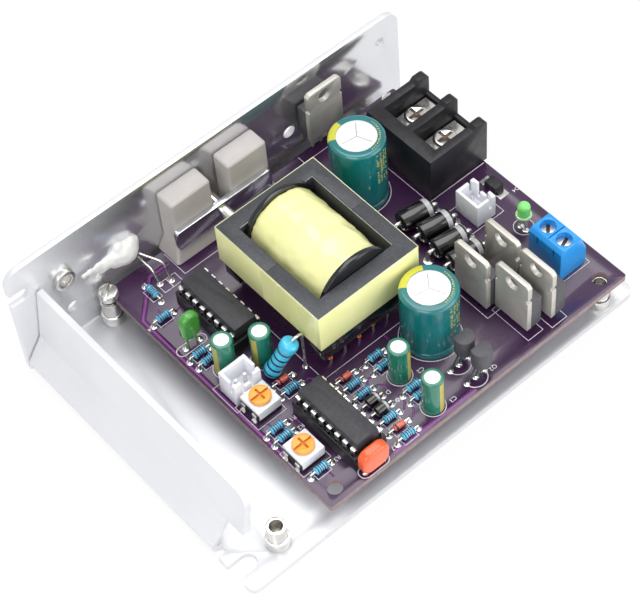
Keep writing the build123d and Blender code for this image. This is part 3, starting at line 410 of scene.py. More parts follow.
def putGroup(tree, effect, values):
    node = tree.nodes.new("ShaderNodeGroup")
    node.node_tree = effects[effect]
    for label, value in values.items():
        feed(tree, node.inputs[label], value)
    return node


# amount and cloud mottle the colour, spread and grain vary the gloss, and depth is the grain's in millimetres
finishDefaults = dict(
    amount=0.5, cloud=160, metal=0.0, rough=0.4, spread=0.08, grain=2500, depth=0.02, dust=0.0,
    coat=0.0, coatRough=0.1, specular=0.5, glow=0.0, subsurface=0.0, ior=1.5,
)


def makeFinish(name, base, shade=None, **given):  # tones from 0 to 255, and a darker shade if none is given
    spec = {**finishDefaults, **given}
    base = tone(*base)
    shade = tone(*shade) if shade else tuple(c * 0.75 for c in base[:3]) + (1,)
    material = bpy.data.materials.new(name)
    material.use_nodes = True
    tree = material.node_tree
    shader = tree.nodes["Principled BSDF"]
    mottle = dict(Base=base, Shade=shade, Scale=spec["cloud"], Amount=spec["amount"])
    color = putGroup(tree, "mottle", mottle).outputs["Color"]
    if spec["dust"]:
        color = putGroup(tree, "dust", dict(Color=color, Amount=spec["dust"])).outputs["Color"]
    tree.links.new(color, shader.inputs["Base Color"])
    gloss = dict(Scale=spec["grain"], Roughness=spec["rough"], Spread=spec["spread"])
    grain = putGroup(tree, "grain", gloss)
    tree.links.new(grain.outputs["Roughness"], shader.inputs["Roughness"])
    bump = tree.nodes.new("ShaderNodeBump")
    bump.inputs["Strength"].default_value = 1.0
    bump.inputs["Distance"].default_value = spec["depth"] * mm
    tree.links.new(grain.outputs["Height"], bump.inputs["Height"])
    tree.links.new(bump.outputs["Normal"], shader.inputs["Normal"])
    for label, key in (
        ("Metallic", "metal"), ("Coat Weight", "coat"), ("Coat Roughness", "coatRough"),
        ("Specular IOR Level", "specular"), ("IOR", "ior"),
        ("Subsurface Weight", "subsurface"), ("Emission Strength", "glow"),
    ):
        shader.inputs[label].default_value = spec[key]
    shader.inputs["Subsurface Scale"].default_value = 0.5 * mm
    if spec["glow"]:
        tree.links.new(color, shader.inputs["Emission Color"])
    return material


brightSheet = makeFinish(
    "brightSheet", (229, 230, 233), (221, 222, 227), rough=0.36, spread=0.05, grain=420, depth=0.006,
    cloud=60,
)
wallMirror = dict(
    facing=(0.55, 0.9),  # how far a face turns to the wall's normal
    fade=(-0.05, -0.02), fadeFrom=0.35,  # duller towards the open bay, in metres along X
    metal=(0.3, 0.92), rough=(0.4, 0.2),
)


def mirrorOnWall(material):
    look = wallMirror
    tree = material.node_tree
    shader = tree.nodes["Principled BSDF"]
    split = tree.nodes.new("ShaderNodeSeparateXYZ")
    tree.links.new(tree.nodes.new("ShaderNodeNewGeometry").outputs["Normal"], split.inputs[0])
    facing = rangeIn(tree, mathIn(tree, "ABSOLUTE", split.outputs["Y"]), *look["facing"])
    place = tree.nodes.new("ShaderNodeSeparateXYZ")
    tree.links.new(tree.nodes.new("ShaderNodeTexCoord").outputs["Object"], place.inputs[0])
    fade = rangeIn(tree, place.outputs["X"], *look["fade"], look["fadeFrom"], 1.0)
    facing = mathIn(tree, "MULTIPLY", facing, fade)
    tree.links.new(rangeIn(tree, facing, 0.0, 1.0, *look["metal"]), shader.inputs["Metallic"])
    tree.links.new(rangeIn(tree, facing, 0.0, 1.0, *look["rough"]), shader.inputs["Roughness"])


mirrorOnWall(brightSheet)
polishedBar = makeFinish(
    "polishedBar", (226, 228, 234), metal=0.95, rough=0.16, spread=0.05, grain=500, depth=0.008,
)
brightSteel = makeFinish("brightSteel", (232, 230, 226), metal=1.0, rough=0.2, grain=1800, depth=0.01)
tinnedLead = makeFinish(
    "tinnedLead", (228, 226, 222), metal=1.0, rough=0.26, spread=0.1, grain=2400, depth=0.015,
)
solderTin = makeFinish("solderTin", (236, 235, 234), metal=1.0, rough=0.22, spread=0.1, grain=1500)
tinnedCopper = makeFinish(
    "tinnedCopper", (206, 203, 195), (186, 183, 175), metal=0.55, rough=0.42, grain=3200, depth=0.01,
    cloud=240,
)
canAluminium = makeFinish(
    "canAluminium", (246, 246, 247), metal=0.35, rough=0.28, spread=0.06, grain=1500, depth=0.006,
)
boardMask = makeFinish(
    "boardMask", (64, 32, 72), (44, 22, 52), rough=0.3, spread=0.06, grain=900, depth=0.01, cloud=55,
    coat=0.55, coatRough=0.14,
)
trackMask = makeFinish(
    "trackMask", (122, 56, 128), (98, 42, 106), rough=0.28, grain=900, depth=0.01, cloud=90, coat=0.5,
    coatRough=0.14,
)
boardFibre = makeFinish(
    "boardFibre", (150, 130, 128), (118, 96, 104), rough=0.7, grain=5200, depth=0.05, cloud=900,
)
printWhite = makeFinish(
    "printWhite", (236, 234, 238), (214, 208, 218), rough=0.6, grain=4000, depth=0.01, cloud=1200,
)
capSilicone = makeFinish(
    "capSilicone", (190, 185, 182), (176, 172, 169), rough=0.5, spread=0.05, grain=1500, dust=0.12,
    subsurface=0.1,
)
blackEpoxy = makeFinish(
    "blackEpoxy", (44, 44, 48), (34, 34, 38), rough=0.5, grain=4200, depth=0.03, dust=0.03, specular=0.3,
)
greyEpoxy = makeFinish(
    "greyEpoxy", (58, 58, 63), (49, 49, 54), specular=0.3, rough=0.44, grain=4200, depth=0.03, dust=0.03,
)
glossEpoxy = makeFinish(
    "glossEpoxy", (22, 22, 25), (15, 15, 18), rough=0.16, grain=1200, depth=0.01, coat=0.6, coatRough=0.06,
)
ferrite = makeFinish(
    "ferrite", (70, 72, 76), (60, 62, 66), rough=0.36, grain=2600, depth=0.03, dust=0.04, cloud=420,
    specular=0.3,
)
blackMoulding = makeFinish(
    "blackMoulding", (34, 34, 38), (26, 26, 30), rough=0.36, grain=2600, dust=0.02, specular=0.3,
)
whiteMoulding = makeFinish(
    "whiteMoulding", (236, 237, 243), (224, 226, 234), rough=0.34, grain=2200, depth=0.01, subsurface=0.12,
)
glossMoulding = makeFinish(
    "glossMoulding", (24, 24, 28), (16, 16, 20), rough=0.16, grain=900, coat=0.35, coatRough=0.08,
)
softEpoxy = makeFinish(
    "softEpoxy", (84, 83, 88), (74, 73, 78), rough=0.46, grain=4200, depth=0.03, dust=0.04, specular=0.35,
)
# painted highlight: the pale colour of the lines round the core's top edges
paleHighlightLine = makeFinish("paleHighlightLine", (214, 216, 220), rough=0.3, grain=1500, depth=0.004, metal=0.3)
blueMoulding = makeFinish(
    "blueMoulding", (36, 158, 238), (24, 140, 222), rough=0.34, grain=2200, depth=0.012, coat=0.2,
)
rotorOrange = makeFinish(
    "rotorOrange", (252, 176, 70), (240, 152, 44), rough=0.34, grain=1800, depth=0.01, subsurface=0.1,
)
ledGreen = makeFinish(
    "ledGreen", (142, 232, 128), (112, 212, 104), rough=0.18, grain=900, depth=0.004, subsurface=0.4,
    coat=0.4, glow=0.12,
)
redGlass = makeFinish(
    "redGlass", (226, 104, 84), (196, 72, 56), rough=0.14, grain=900, depth=0.004, coat=0.7, coatRough=0.05,
    subsurface=0.2,
)
resistorBlue = makeFinish(
    "resistorBlue", (92, 190, 228), (64, 164, 210), rough=0.26, grain=1600, depth=0.012, coat=0.4,
)
bandDark = makeFinish("bandDark", (22, 34, 52), rough=0.3, grain=1600, depth=0.008, coat=0.3)
bandBrown = makeFinish("bandBrown", (70, 34, 24), rough=0.3, grain=1600, depth=0.008, coat=0.3)
bandGrey = makeFinish("bandGrey", (186, 187, 190), rough=0.3, grain=1600, depth=0.008, coat=0.3)
powerBlue = makeFinish(
    "powerBlue", (70, 194, 234), (48, 172, 218), rough=0.24, grain=1200, depth=0.012, coat=0.5,
    coatRough=0.08,
)
filmGreen = makeFinish(
    "filmGreen", (78, 160, 62), (54, 134, 46), rough=0.2, grain=500, coat=0.6, coatRough=0.07,
)
dippedOrange = makeFinish(
    "dippedOrange", (240, 102, 52), (222, 78, 34), rough=0.28, grain=500, depth=0.04, coat=0.35,
    subsurface=0.1,
)
whiteSealant = makeFinish(
    "whiteSealant", (242, 242, 240), (228, 228, 226), rough=0.42, grain=500, depth=0.05, subsurface=0.04,
)
yellowTape = makeFinish(
    "yellowTape", (243, 243, 176), (234, 235, 158), rough=0.24, grain=420, depth=0.03, cloud=120, coat=0.4,
    coatRough=0.12,
)
copperWire = makeFinish("copperWire", (196, 104, 52), metal=0.8, rough=0.3, grain=1600, depth=0.01)
goldPrint = makeFinish("goldPrint", (190, 178, 92), (150, 146, 70), grain=1500, depth=0.006)
tealSleeve = makeFinish(
    "tealSleeve", (20, 118, 120), (12, 98, 104), rough=0.2, grain=380, depth=0.03, cloud=120, coat=0.6,
    coatRough=0.08,
)
greenSleeve = makeFinish(
    "greenSleeve", (28, 122, 98), (16, 96, 78), rough=0.2, grain=420, depth=0.03, coat=0.6, coatRough=0.08,
)
# painted shade: a darker orange for the faces sunk in the trimmer rotors' cross
rotorCrossPaintedShade = makeFinish("rotorCrossPaintedShade", (222, 134, 44), (206, 116, 32), rough=0.45, grain=1800, depth=0.01)
# painted shade and a brownish painted reflection for the floors of the screw slots
slotPaintedShade = makeFinish("slotPaintedShade", (92, 70, 58), metal=0.7, rough=0.35, grain=1500, depth=0.01)
ledPale = makeFinish(
    "ledPale", (206, 232, 190), (188, 220, 170), rough=0.24, grain=900, depth=0.004, subsurface=0.3, coat=0.3,
)
ventGrey = makeFinish("ventGrey", (176, 178, 186), grain=1500, depth=0.004)
vinylYellow = makeFinish("vinylYellow", (204, 200, 64), (184, 180, 48), rough=0.24, grain=400, coat=0.5)
print("finishes made")


# Sheet metal, board and posts
boardTop = 10.3  # the board's upper face
dressed("chassis", "foldedSheet", brightSheet, edge=0.16, smooth=40)
dressed("clamp_bar", "clampBar", polishedBar, edge=0.35)
for node, name in (
    ("cover_post", "coverPost"), ("board_standoffs", "boardPosts"), ("wall_nut", "wallNut"),
    ("board_screws", "boardScrews"), ("clamp_screw", "clampScrew"),
):
    dressed(node, name, brightSteel, edge=0.1, smooth=32)
board = dressed("circuit_board", "circuitBoard", (boardMask, boardFibre), edge=0.05)
for face in board.data.polygons:
    face.material_index = 0 if abs(face.normal.z) > 0.7 else 1  # bare fibre round the sides
print("sheet and board made")


# Transformer
for side in ("front", "rear"):
    dressed("core_half_" + side, "coreHalf" + side.title(), ferrite, edge=0.28)
dressed("core_tape", "coreTape", yellowTape, edge=0.02)
dressed("bobbin", "bobbin", glossMoulding, edge=0.15)


def cloudTexture(size):
    texture = bpy.data.textures.new("lumps", "CLOUDS")
    texture.noise_scale = size
    return texture


windingTape = dict(
    inner=8.2, shoulder=9.2, radius=9.3, bulge=0.2, rows=30, steps=88, centre=(0.2, 0, 26.3),
    lumps=((3.2, 0.75, 0.6), (1.1, 0.26, 0.5)),  # size, height and middle level of each
)


def makeWinding():
    shape = windingTape
    ends = [v.co.y / mm for v in cadNodes["winding"].data.vertices]
    low, high = min(ends), max(ends)
    profile = [(shape["inner"], low + 0.05), (shape["shoulder"], low + 0.1)]
    for row in range(shape["rows"] + 1):
        share = row / shape["rows"]
        swell = shape["radius"] + shape["bulge"] * math.sin(math.pi * share)
        profile.append((swell, low + 0.35 + (high - low - 0.7) * share))
    profile += [(shape["shoulder"], high - 0.1), (shape["inner"], high - 0.05)]
    piece = turnPiece(profile, shape["steps"])
    for size, strength, middle in shape["lumps"]:
        texture = cloudTexture(size)
        applyModifier(piece, "DISPLACE", texture=texture, strength=strength, mid_level=middle)
    lying = Matrix.Rotation(math.radians(-90), 4, "X")
    piece.data.transform(Matrix.Translation(shape["centre"]) @ lying)
    smoothFaces(piece, 60)
    giveFinish(piece, yellowTape)
    settle(piece, "windingTape", instead=("winding",))


wireEnds = dict(
    count=6, leftOut=(1, 4), middle=0.2, reach=10.5, pitch=4.2, front=-12.4,
    radius=0.16, loop=0.6, climb=0.07, height=1.6, step=0.5,
)


def makeWireEnds():
    shape = wireEnds
    wires = []
    for index in range(shape["count"]):
        if index in shape["leftOut"]:
            continue
        x = shape["middle"] - shape["reach"] + shape["pitch"] * index
        height = boardTop + shape["height"] + shape["step"] * (index % 2)
        line = []
        for angle in (math.radians(degree) for degree in range(-90, 700, 30)):
            across, along = shape["loop"] * math.cos(angle), shape["loop"] * math.sin(angle)
            line.append((x + across, shape["front"] + along, height + shape["climb"] * angle))
        line += [(x + 0.9, -11.9, height + 1.2), (x + 1.8, -10.6, height + 2.2)]  # tail to the winding
        wires.append(tubeAlong(line, shape["radius"], resolution=1, steps=3))
        smoothFaces(wires[-1], 60)
        giveFinish(wires[-1], copperWire)
    settle(joined(wires), "wireEnds")


coreEdgeHighlight = dict(  # painted highlights: pale lines round the top edges of the core
    outer=(-14.1, 14.5, -14.65, 20.05), outerWidth=0.14,
    inner=[(-10.2, 15.9), (10.65, 15.9), (10.65, -10.5)], innerWidth=0.12,
    rise=0.03, height=32.0,
)


def makeCoreEdgeHighlights():
    shape = coreEdgeHighlight
    outer, inner = boxPath(*shape["outer"]), (shape["inner"], False)
    edges = [lineWork([path], width, shape["rise"], shape["height"], paleHighlightLine)
             for path, width in ((outer, shape["outerWidth"]), (inner, shape["innerWidth"]))]
    settle(joined(edges), "coreEdgeHighlights")


makeWinding()
makeWireEnds()
makeCoreEdgeHighlights()
tapeSeam = dict(box=(-14.22, -14.12, -13.2, 4.5, 20.9, 31.7), edge=0.03)  # where the tape's end overlaps
seam = blockPiece(*tapeSeam["box"], tapeSeam["edge"], 1)
giveFinish(seam, yellowTape)
settle(seam, "tapeSeam")
print("transformer made")


# Moulded parts, packages and cans
dressed("terminal_block", "terminalBlock", blackMoulding, edge=0.28)
blueTerminal = dict(
    edge=0.18,
    slots=(  # limits in X, Y and Z of each cut
        (41.0, 42.3, -24.15, -23.75, 17.0, 19.4), (41.0, 42.3, -29.25, -28.85, 17.0, 19.4),
        (42.6, 48.6, -26.47, -26.17, 19.7, 20.6),
    ),
)
terminal = dressed("screw_terminal", "blueTerminal", blueMoulding, blueTerminal["edge"])
for limits in blueTerminal["slots"]:
    cutter = blockPiece(*(limit * mm for limit in limits))
    applyModifier(terminal, "BOOLEAN", object=cutter, operation="DIFFERENCE", solver="EXACT")
    dropPiece(cutter)
smoothFaces(terminal)
for node, name, finish, slotName, edge in (
    ("output_socket", "outputSocket", whiteMoulding, "white_moulding", 0.16),
    ("input_socket", "inputSocket", whiteMoulding, "white_moulding", 0.16),
    ("controller_socket", "controllerSocket", blackMoulding, "black_moulding", 0.15),
    ("driver_socket", "driverSocket", blackMoulding, "black_moulding", 0.15),
    ("controller_chip", "controllerChip", greyEpoxy, "black_epoxy", 0.12),
    ("driver_chip", "driverChip", greyEpoxy, "black_epoxy", 0.12),
    ("insulating_caps", "insulatingCaps", capSilicone, "grey_rubber", 0.1),
):
    dressed(node, name, finish, edge)
ledFlangeTop = boardTop + 5.25  # the flange below is paler
led = dressed("indicator_led", "indicatorLed", (ledGreen, ledPale), edge=0.1, smooth=40)
for face in led.data.polygons:
    face.material_index = 1 if face.center.z < ledFlangeTop * mm else 0
for node, name, finish, slotName, edge, smooth in (
    ("surface_diode", "surfaceDiode", blackEpoxy, "black_epoxy", 0.1, 38),
    ("output_transistor_bodies", "outputBodies", softEpoxy, "black_epoxy", 0.15, 38),
    ("wall_transistor_body", "wallTransistorBody", softEpoxy, "black_epoxy", 0.15, 38),
    ("signal_transistors", "smallTransistors", softEpoxy, "black_epoxy", 0.15, 38),
    ("output_transistor_tabs", "outputTabs", tinnedCopper, "tinned_copper", 0.12, 38),
    ("wall_transistor_tab", "wallTransistorTab", tinnedCopper, "tinned_copper", 0.12, 38),
    ("rear_capacitor_can", "rearCan", canAluminium, "can_aluminium", 0.0, 50),
    ("rear_capacitor_sleeve", "rearSleeve", tealSleeve, "teal_sleeve", 0.0, 50),
    ("front_capacitor_can", "frontCan", canAluminium, "can_aluminium", 0.0, 50),
    ("front_capacitor_sleeve", "frontSleeve", tealSleeve, "teal_sleeve", 0.0, 50),
    ("small_capacitor_cans", "smallCans", canAluminium, "can_aluminium", 0.0, 50),
    ("small_capacitor_sleeves", "smallSleeves", greenSleeve, "green_sleeve", 0.0, 50),
):
    dressed(node, name, finish, edge, smooth=smooth)

trimmer = dict(
    places={"1": (-29.0, -11.0), "2": (-30.3, -26.8)},
    edge=0.1, crossReach=2.2, crossDrop=0.15,  # painted shade in the rotor's cross, from its middle and below its top
    footTop=1.2, sideTop=2.9, sideInset=3.0,  # the black foot and side, above the board and from the middle
)


def makeTrimmer(index, x, y):
    shape = trimmer
    rotor = dressed("trimmer_rotor_" + index, "trimmerRotor" + index, (rotorOrange, rotorCrossPaintedShade),
                    shape["edge"], body="trimmer_" + index)
    top = max(v.co.z for v in rotor.data.vertices)
    for face in rotor.data.polygons:
        centre = face.center / mm
        away = math.hypot(centre.x - x, centre.y - y)
        # faces sunk in the cross take the painted shade
        inCross = away < shape["crossReach"] and centre.z < top / mm - shape["crossDrop"]
        face.material_index = 1 if inCross else 0
    body = dressed("trimmer_body_" + index, "trimmerBody" + index, (whiteMoulding, blackMoulding),
                   shape["edge"])
    footTop, sideTop = boardTop + shape["footTop"], boardTop + shape["sideTop"]
    for height in (footTop, sideTop):
        editMode(body)
        bpy.ops.mesh.bisect(plane_co=(0, 0, height * mm), plane_no=(0, 0, 1))
        objectMode()
    for face in body.data.polygons:
        centre = face.center / mm
        low = centre.z < footTop or (centre.z < sideTop and centre.x < x - shape["sideInset"])
        face.material_index = 1 if low else 0


for index, place in trimmer["places"].items():
    makeTrimmer(index, *place)
dressed("film_capacitor", "filmCapacitor", filmGreen, edge=0.0, smooth=60)
dressed("dipped_capacitor", "dippedCapacitor", dippedOrange, edge=0.0, smooth=60)

sealant = dict(
    wall=39.0, trim=38.98, voxel=0.3, clouds=2.2, strength=0.7, level=0.6,
    lumps=(  # X, Z, reach along the wall and depth of each
        (-27.2, 17.3, 3.7, 3.2), (-29.6, 17.0, 2.9, 2.2), (-25.2, 18.5, 2.3, 1.9), (-26.4, 15.0, 2.0, 1.8),
        (-32.2, 17.2, 2.3, 1.3), (-34.4, 17.6, 1.7, 0.9), (-36.6, 17.9, 1.2, 0.7), (-38.4, 18.1, 0.8, 0.6),
        (-33.4, 15.6, 1.0, 0.7), (-35.2, 14.7, 0.8, 0.6), (-28.4, 19.6, 1.9, 1.6),
    ),
)


def makeSealant():
    shape = sealant
    lumps = []
    for x, z, size, depth in shape["lumps"]:
        bpy.ops.object.select_all(action="DESELECT")
        bpy.ops.mesh.primitive_ico_sphere_add(subdivisions=3, radius=1, location=(x, shape["wall"], z))
        lump = bpy.context.object
        lump.scale = (size, depth, size)
        bpy.ops.object.transform_apply(location=True, rotation=True, scale=True)
        lumps.append(lump)
    piece = joined(lumps)
    applyModifier(piece, "REMESH", mode="VOXEL", voxel_size=shape["voxel"])
    texture = cloudTexture(shape["clouds"])
    applyModifier(piece, "DISPLACE", texture=texture, strength=shape["strength"], mid_level=shape["level"])
    applyModifier(piece, "SMOOTH", factor=0.6, iterations=4)
    editMode(piece)
    bpy.ops.mesh.bisect(plane_co=(0, shape["trim"], 0), plane_no=(0, 1, 0), use_fill=True, clear_outer=True)
    objectMode()
    smoothFaces(piece, 60)
    giveFinish(piece, whiteSealant)
    settle(piece, "sealantBlob", instead=("thermistor",))


makeSealant()
screwSlot = dict(deepest=1.4, highest=0.15, upright=0.9)  # painted shade and a brownish painted reflection on the floors of the slots, below the heads' tops
for node, name in (("terminal_block_screws", "blockScrews"), ("screw_terminal_screws", "terminalScrews")):
    screws = dressed(node, name, (brightSteel, slotPaintedShade), edge=0.1)
    top = max(v.co.z for v in screws.data.vertices)
    for face in screws.data.polygons:
        low = top - screwSlot["deepest"] * mm < face.center.z < top - screwSlot["highest"] * mm
        face.material_index = 1 if low and face.normal.z > screwSlot["upright"] else 0
for node in (  # small metal pieces that keep the CAD mesh
    "bobbin_pins", "terminal_block_plates", "screw_terminal_clamps", "output_socket_pins",
    "input_socket_pins", "chip_legs", "trimmer_contacts", "led_leads", "thermistor_wires",
):
    giveFinish(cadNodes[node], tinnedLead)
giveFinish(cadNodes["clamped_transistors"], blackEpoxy)
print("main pieces made")


# Resistors and diodes
axialSpan = 2.95  # from the middle of a small one to each of its pads
middleColumn = -10.9
turnedResistor = (-27.45, 29.3)
resistorSpots = [
    (-30.45, -17.9), (-30.55, -20.7), (-30.15, -32.1), (-30.15, 8.9), (-29.85, 6.1), (-29.95, 22.1),
    (-21.45, -12.3), (-2.5, -18.5), (-2.7, -21.5), (-1.8, -30.1), (-2.0, -32.65),
]
resistorSpots += [(middleColumn, y) for y in (-20.8, -24.1, -32.6, -38.4)]
glassSpots = [(middleColumn, -18.1), (middleColumn, -35.5), (-21.45, -9.2)]
diodeSpots = [(middleColumn, -27.0), (middleColumn, -29.9)]
rectifierSpots = [(29.65, 3.4), (30.65, -2.1), (29.95, -7.6), (30.05, -12.9)]
rectifierTurn = -8

# Outline as places and radii along the body, bands as limits and a finish, then the leads
smallResistor = dict(
    points=[(0, -1.7), (0.55, -1.68), (0.9, -1.5), (1.0, -1.25), (0.98, -0.95), (0.84, -0.7), (0.82, 0.0),
            (0.84, 0.7), (0.98, 0.95), (1.0, 1.25), (0.9, 1.5), (0.55, 1.68), (0, 1.7)],
    bands=[(-1.32, -1.02, 1), (-0.62, -0.36, 1), (-0.1, 0.16, 2), (0.42, 0.66, 1), (1.0, 1.24, 1)],
    finishes=(resistorBlue, bandDark, bandBrown), steps=18,
    height=1.25, inner=1.7, outer=axialSpan, lead=0.25, bend=0.5,
)
signalDiode = dict(
    points=[(0, -1.7), (1.05, -1.69), (1.22, -1.55), (1.25, -1.3), (1.25, 1.3), (1.22, 1.55), (1.05, 1.69),
            (0, 1.7)],
    bands=[(0.75, 1.35, 1)], finishes=(glossEpoxy, bandGrey), steps=20,
    height=1.5, inner=1.7, outer=axialSpan, lead=0.25, bend=0.5,
)
glassDiode = dict(
    points=[(0, -1.5), (0.4, -1.47), (0.66, -1.3), (0.75, -1.0), (0.75, 1.0), (0.66, 1.3), (0.4, 1.47),
            (0, 1.5)],
    bands=[(-1.05, -0.6, 1)], finishes=(redGlass, bandDark), steps=16,
    height=1.0, inner=1.5, outer=axialSpan, lead=0.25, bend=0.4,
)
rectifierDiode = dict(
    points=[(0, -4.3), (1.9, -4.29), (2.3, -4.12), (2.45, -3.8), (2.45, 3.8), (2.3, 4.12), (1.9, 4.29),
            (0, 4.3)],
    bands=[(2.35, 3.55, 1)], finishes=(glossEpoxy, bandGrey), steps=32,
    height=2.85, inner=4.3, outer=5.7, lead=0.6, bend=1.2,
)


def spreadOut(shape, spots, name, node, turn=0.0, extra=()):
    body = axialBody(shape["points"], shape["bands"], shape["finishes"], shape["steps"])
    leads = bentLeads(shape["inner"], shape["outer"], shape["height"], shape["lead"], shape["bend"])
    template = joined([moved(body, z=shape["height"])] + leads)
    pieces = [copyAt(template, x, y, boardTop, turn) for x, y in spots]
    pieces += [copyAt(template, x, y, boardTop, heading) for x, y, heading in extra]
    dropPiece(template)
    settle(joined(pieces), name, instead=(node,))


spreadOut(smallResistor, resistorSpots, "smallResistors", "small_resistors",
          extra=[(*turnedResistor, 90)])
spreadOut(signalDiode, diodeSpots, "signalDiodes", "signal_diodes")
spreadOut(glassDiode, glassSpots, "glassDiodes", "glass_diodes")
spreadOut(rectifierDiode, rectifierSpots, "rectifierDiodes", "rectifier_diodes", rectifierTurn)

powerResistor = dict(
    points=[(0, 0), (1.5, 0.02), (1.95, 0.35), (2.1, 0.8), (2.1, 2.2), (1.98, 2.7), (1.85, 3.1), (1.85, 8.9),
            (1.98, 9.3), (2.1, 9.8), (2.1, 11.2), (1.95, 11.65), (1.5, 11.98), (0, 12.0)],
    bands=[(0.95, 1.45, 1), (2.7, 3.2, 1), (4.6, 5.15, 1), (6.4, 6.95, 1), (8.5, 9.0, 1)], steps=32,
    place=(-22.15, -6.1), foot=1.2, heading=-37, lean=26,
    lead=0.35, leadStart=11.9, leadPeak=12.9, leadReach=2.6,
)


def makePowerResistor():
    shape = powerResistor
    body = axialBody(shape["points"], shape["bands"], (powerBlue, bandDark), shape["steps"])
    body.data.transform(Matrix.Rotation(math.radians(-90), 4, "Y"))
    lean = Matrix.Translation((0, 0, shape["foot"])) @ Matrix.Rotation(math.radians(shape["heading"]), 4, "Z")
    lean = lean @ Matrix.Rotation(math.radians(shape["lean"]), 4, "Y")
    body.data.transform(lean)
    top, peak = lean @ Vector((0, 0, shape["leadStart"])), lean @ Vector((0, 0, shape["leadPeak"]))
    outer = peak + Vector((shape["leadReach"], 0, 0))
    line = [tuple(top), tuple(peak), (outer.x - 0.6, outer.y, outer.z), (outer.x, outer.y, outer.z - 0.7),
            (outer.x, outer.y, 0.05)]
    lead = tubeAlong(line, shape["lead"], resolution=3, steps=8)
    foot = tubeAlong([(0, 0, 0.05), (0, 0, 1.6)], shape["lead"], smooth=False)
    for piece in (lead, foot):
        smoothFaces(piece, 60)
        giveFinish(piece, tinnedLead)
    piece = moved(joined([body, lead, foot]), *shape["place"], boardTop)
    settle(piece, "powerResistor", instead=("power_resistor",))


makePowerResistor()
print("resistors and diodes made")


# Solder, tracks and prints on the board
outputSpots = ((23.35, -21.6), (32.15, -22.0), (25.65, -32.1), (31.95, -33.2))
legPitch = 2.54


def padPlaces():
    spots = resistorSpots + diodeSpots + glassSpots
    ends = [(x + side * axialSpan, y) for x, y in spots for side in (-1, 1)]
    x, y = turnedResistor
    ends += [(x, y - axialSpan), (x, y + axialSpan), (-24.45, 30.5), (-21.85, 29.5)]
    ends += [(46.35, -15.7), (46.35, -14.1), (-22.15, -6.1), (-15.0, -9.5)]
    for x, y in ((9.7, -32.3), (10.1, -37.2)):
        ends += [(x - legPitch, y), (x, y), (x + legPitch, y)]
    ends += [(-31.4, 12.4), (-27.5, 12.4), (-23.6, -38.9), (-18.7, -38.9)]
    return ends


def largePadPlaces():
    turn, reach = math.radians(rectifierTurn), rectifierDiode["outer"]
    ends = [(x + side * reach * math.cos(turn), y + side * reach * math.sin(turn))
            for x, y in rectifierSpots for side in (-1, 1)]
    for x, y in outputSpots:
        ends += [(x + 2.9, y + i * legPitch) for i in (-1, 0, 1)]
    return ends


solder = dict(
    small=0.8, large=1.25, steps=14,
    outline=((0, 0.5), (0.3, 0.46), (0.42, 0.3), (0.62, 0.14), (0.86, 0.07), (1, 0.03), (1, -0.02),
             (0, -0.03)),  # shares of the radius, and heights
    bar=(48.3, 51.1), barMiddle=-1.7, barReach=2.9, barHalf=0.8, barRise=0.16, barEdge=0.08,
)


def solderPad(radius):
    pad = turnPiece([(share * radius, height) for share, height in solder["outline"]], solder["steps"])
    smoothFaces(pad, 60)
    giveFinish(pad, solderTin)
    return pad


def makeSolder():
    small, large = solderPad(solder["small"]), solderPad(solder["large"])
    pads = [copyAt(small, x, y, boardTop) for x, y in padPlaces()]
    pads += [copyAt(large, x, y, boardTop) for x, y in largePadPlaces()]
    dropPiece(small)
    dropPiece(large)
    for side in (-1, 1):
        middle = solder["barMiddle"] + side * solder["barReach"]
        pads.append(blockPiece(*solder["bar"], middle - solder["barHalf"], middle + solder["barHalf"],
                               boardTop - 0.02, boardTop + solder["barRise"], solder["barEdge"]))
        giveFinish(pads[-1], solderTin)
    settle(joined(pads), "solderPads")


tracks = dict(
    wide=[([(-33.7, -24.0), (-33.7, 25.0), (-25.0, 33.7), (-19.5, 33.7)], False),
          ([(-16.0, -39.3), (8.0, -39.3)], False)],
    wideWidth=1.5, wideRise=0.006, fineWidth=0.5, fineRise=0.008,
    fineCount=38, reaches=(1.2, 1.8, 2.6), rises=(0.8, 1.4), tail=2.2,
    limits=(-34.0, 53.0, -39.8, 36.8),
)


def finePaths():
    x0, x1, y0, y1 = tracks["limits"]
    paths = []
    for x, y in padPlaces()[:tracks["fineCount"]]:
        reach = random.choice(tracks["reaches"])
        side = random.choice((-1, 1))
        rise = random.choice((-1, 1)) * random.choice(tracks["rises"])
        line = [(x, y), (x + side * reach, y), (x + side * (reach + abs(rise)), y + rise)]
        line.append((line[-1][0], line[-1][1] + tracks["tail"] * (1 if rise > 0 else -1)))
        if all(x0 < px < x1 and y0 < py < y1 for px, py in line):
            paths.append((line, False))
    return paths


def makeTracks():
    fine = finePaths()
    lines = [lineWork(tracks["wide"], tracks["wideWidth"], tracks["wideRise"], boardTop, trackMask),
             lineWork(fine, tracks["fineWidth"], tracks["fineRise"], boardTop, trackMask)]
    settle(joined(lines), "raisedTracks")


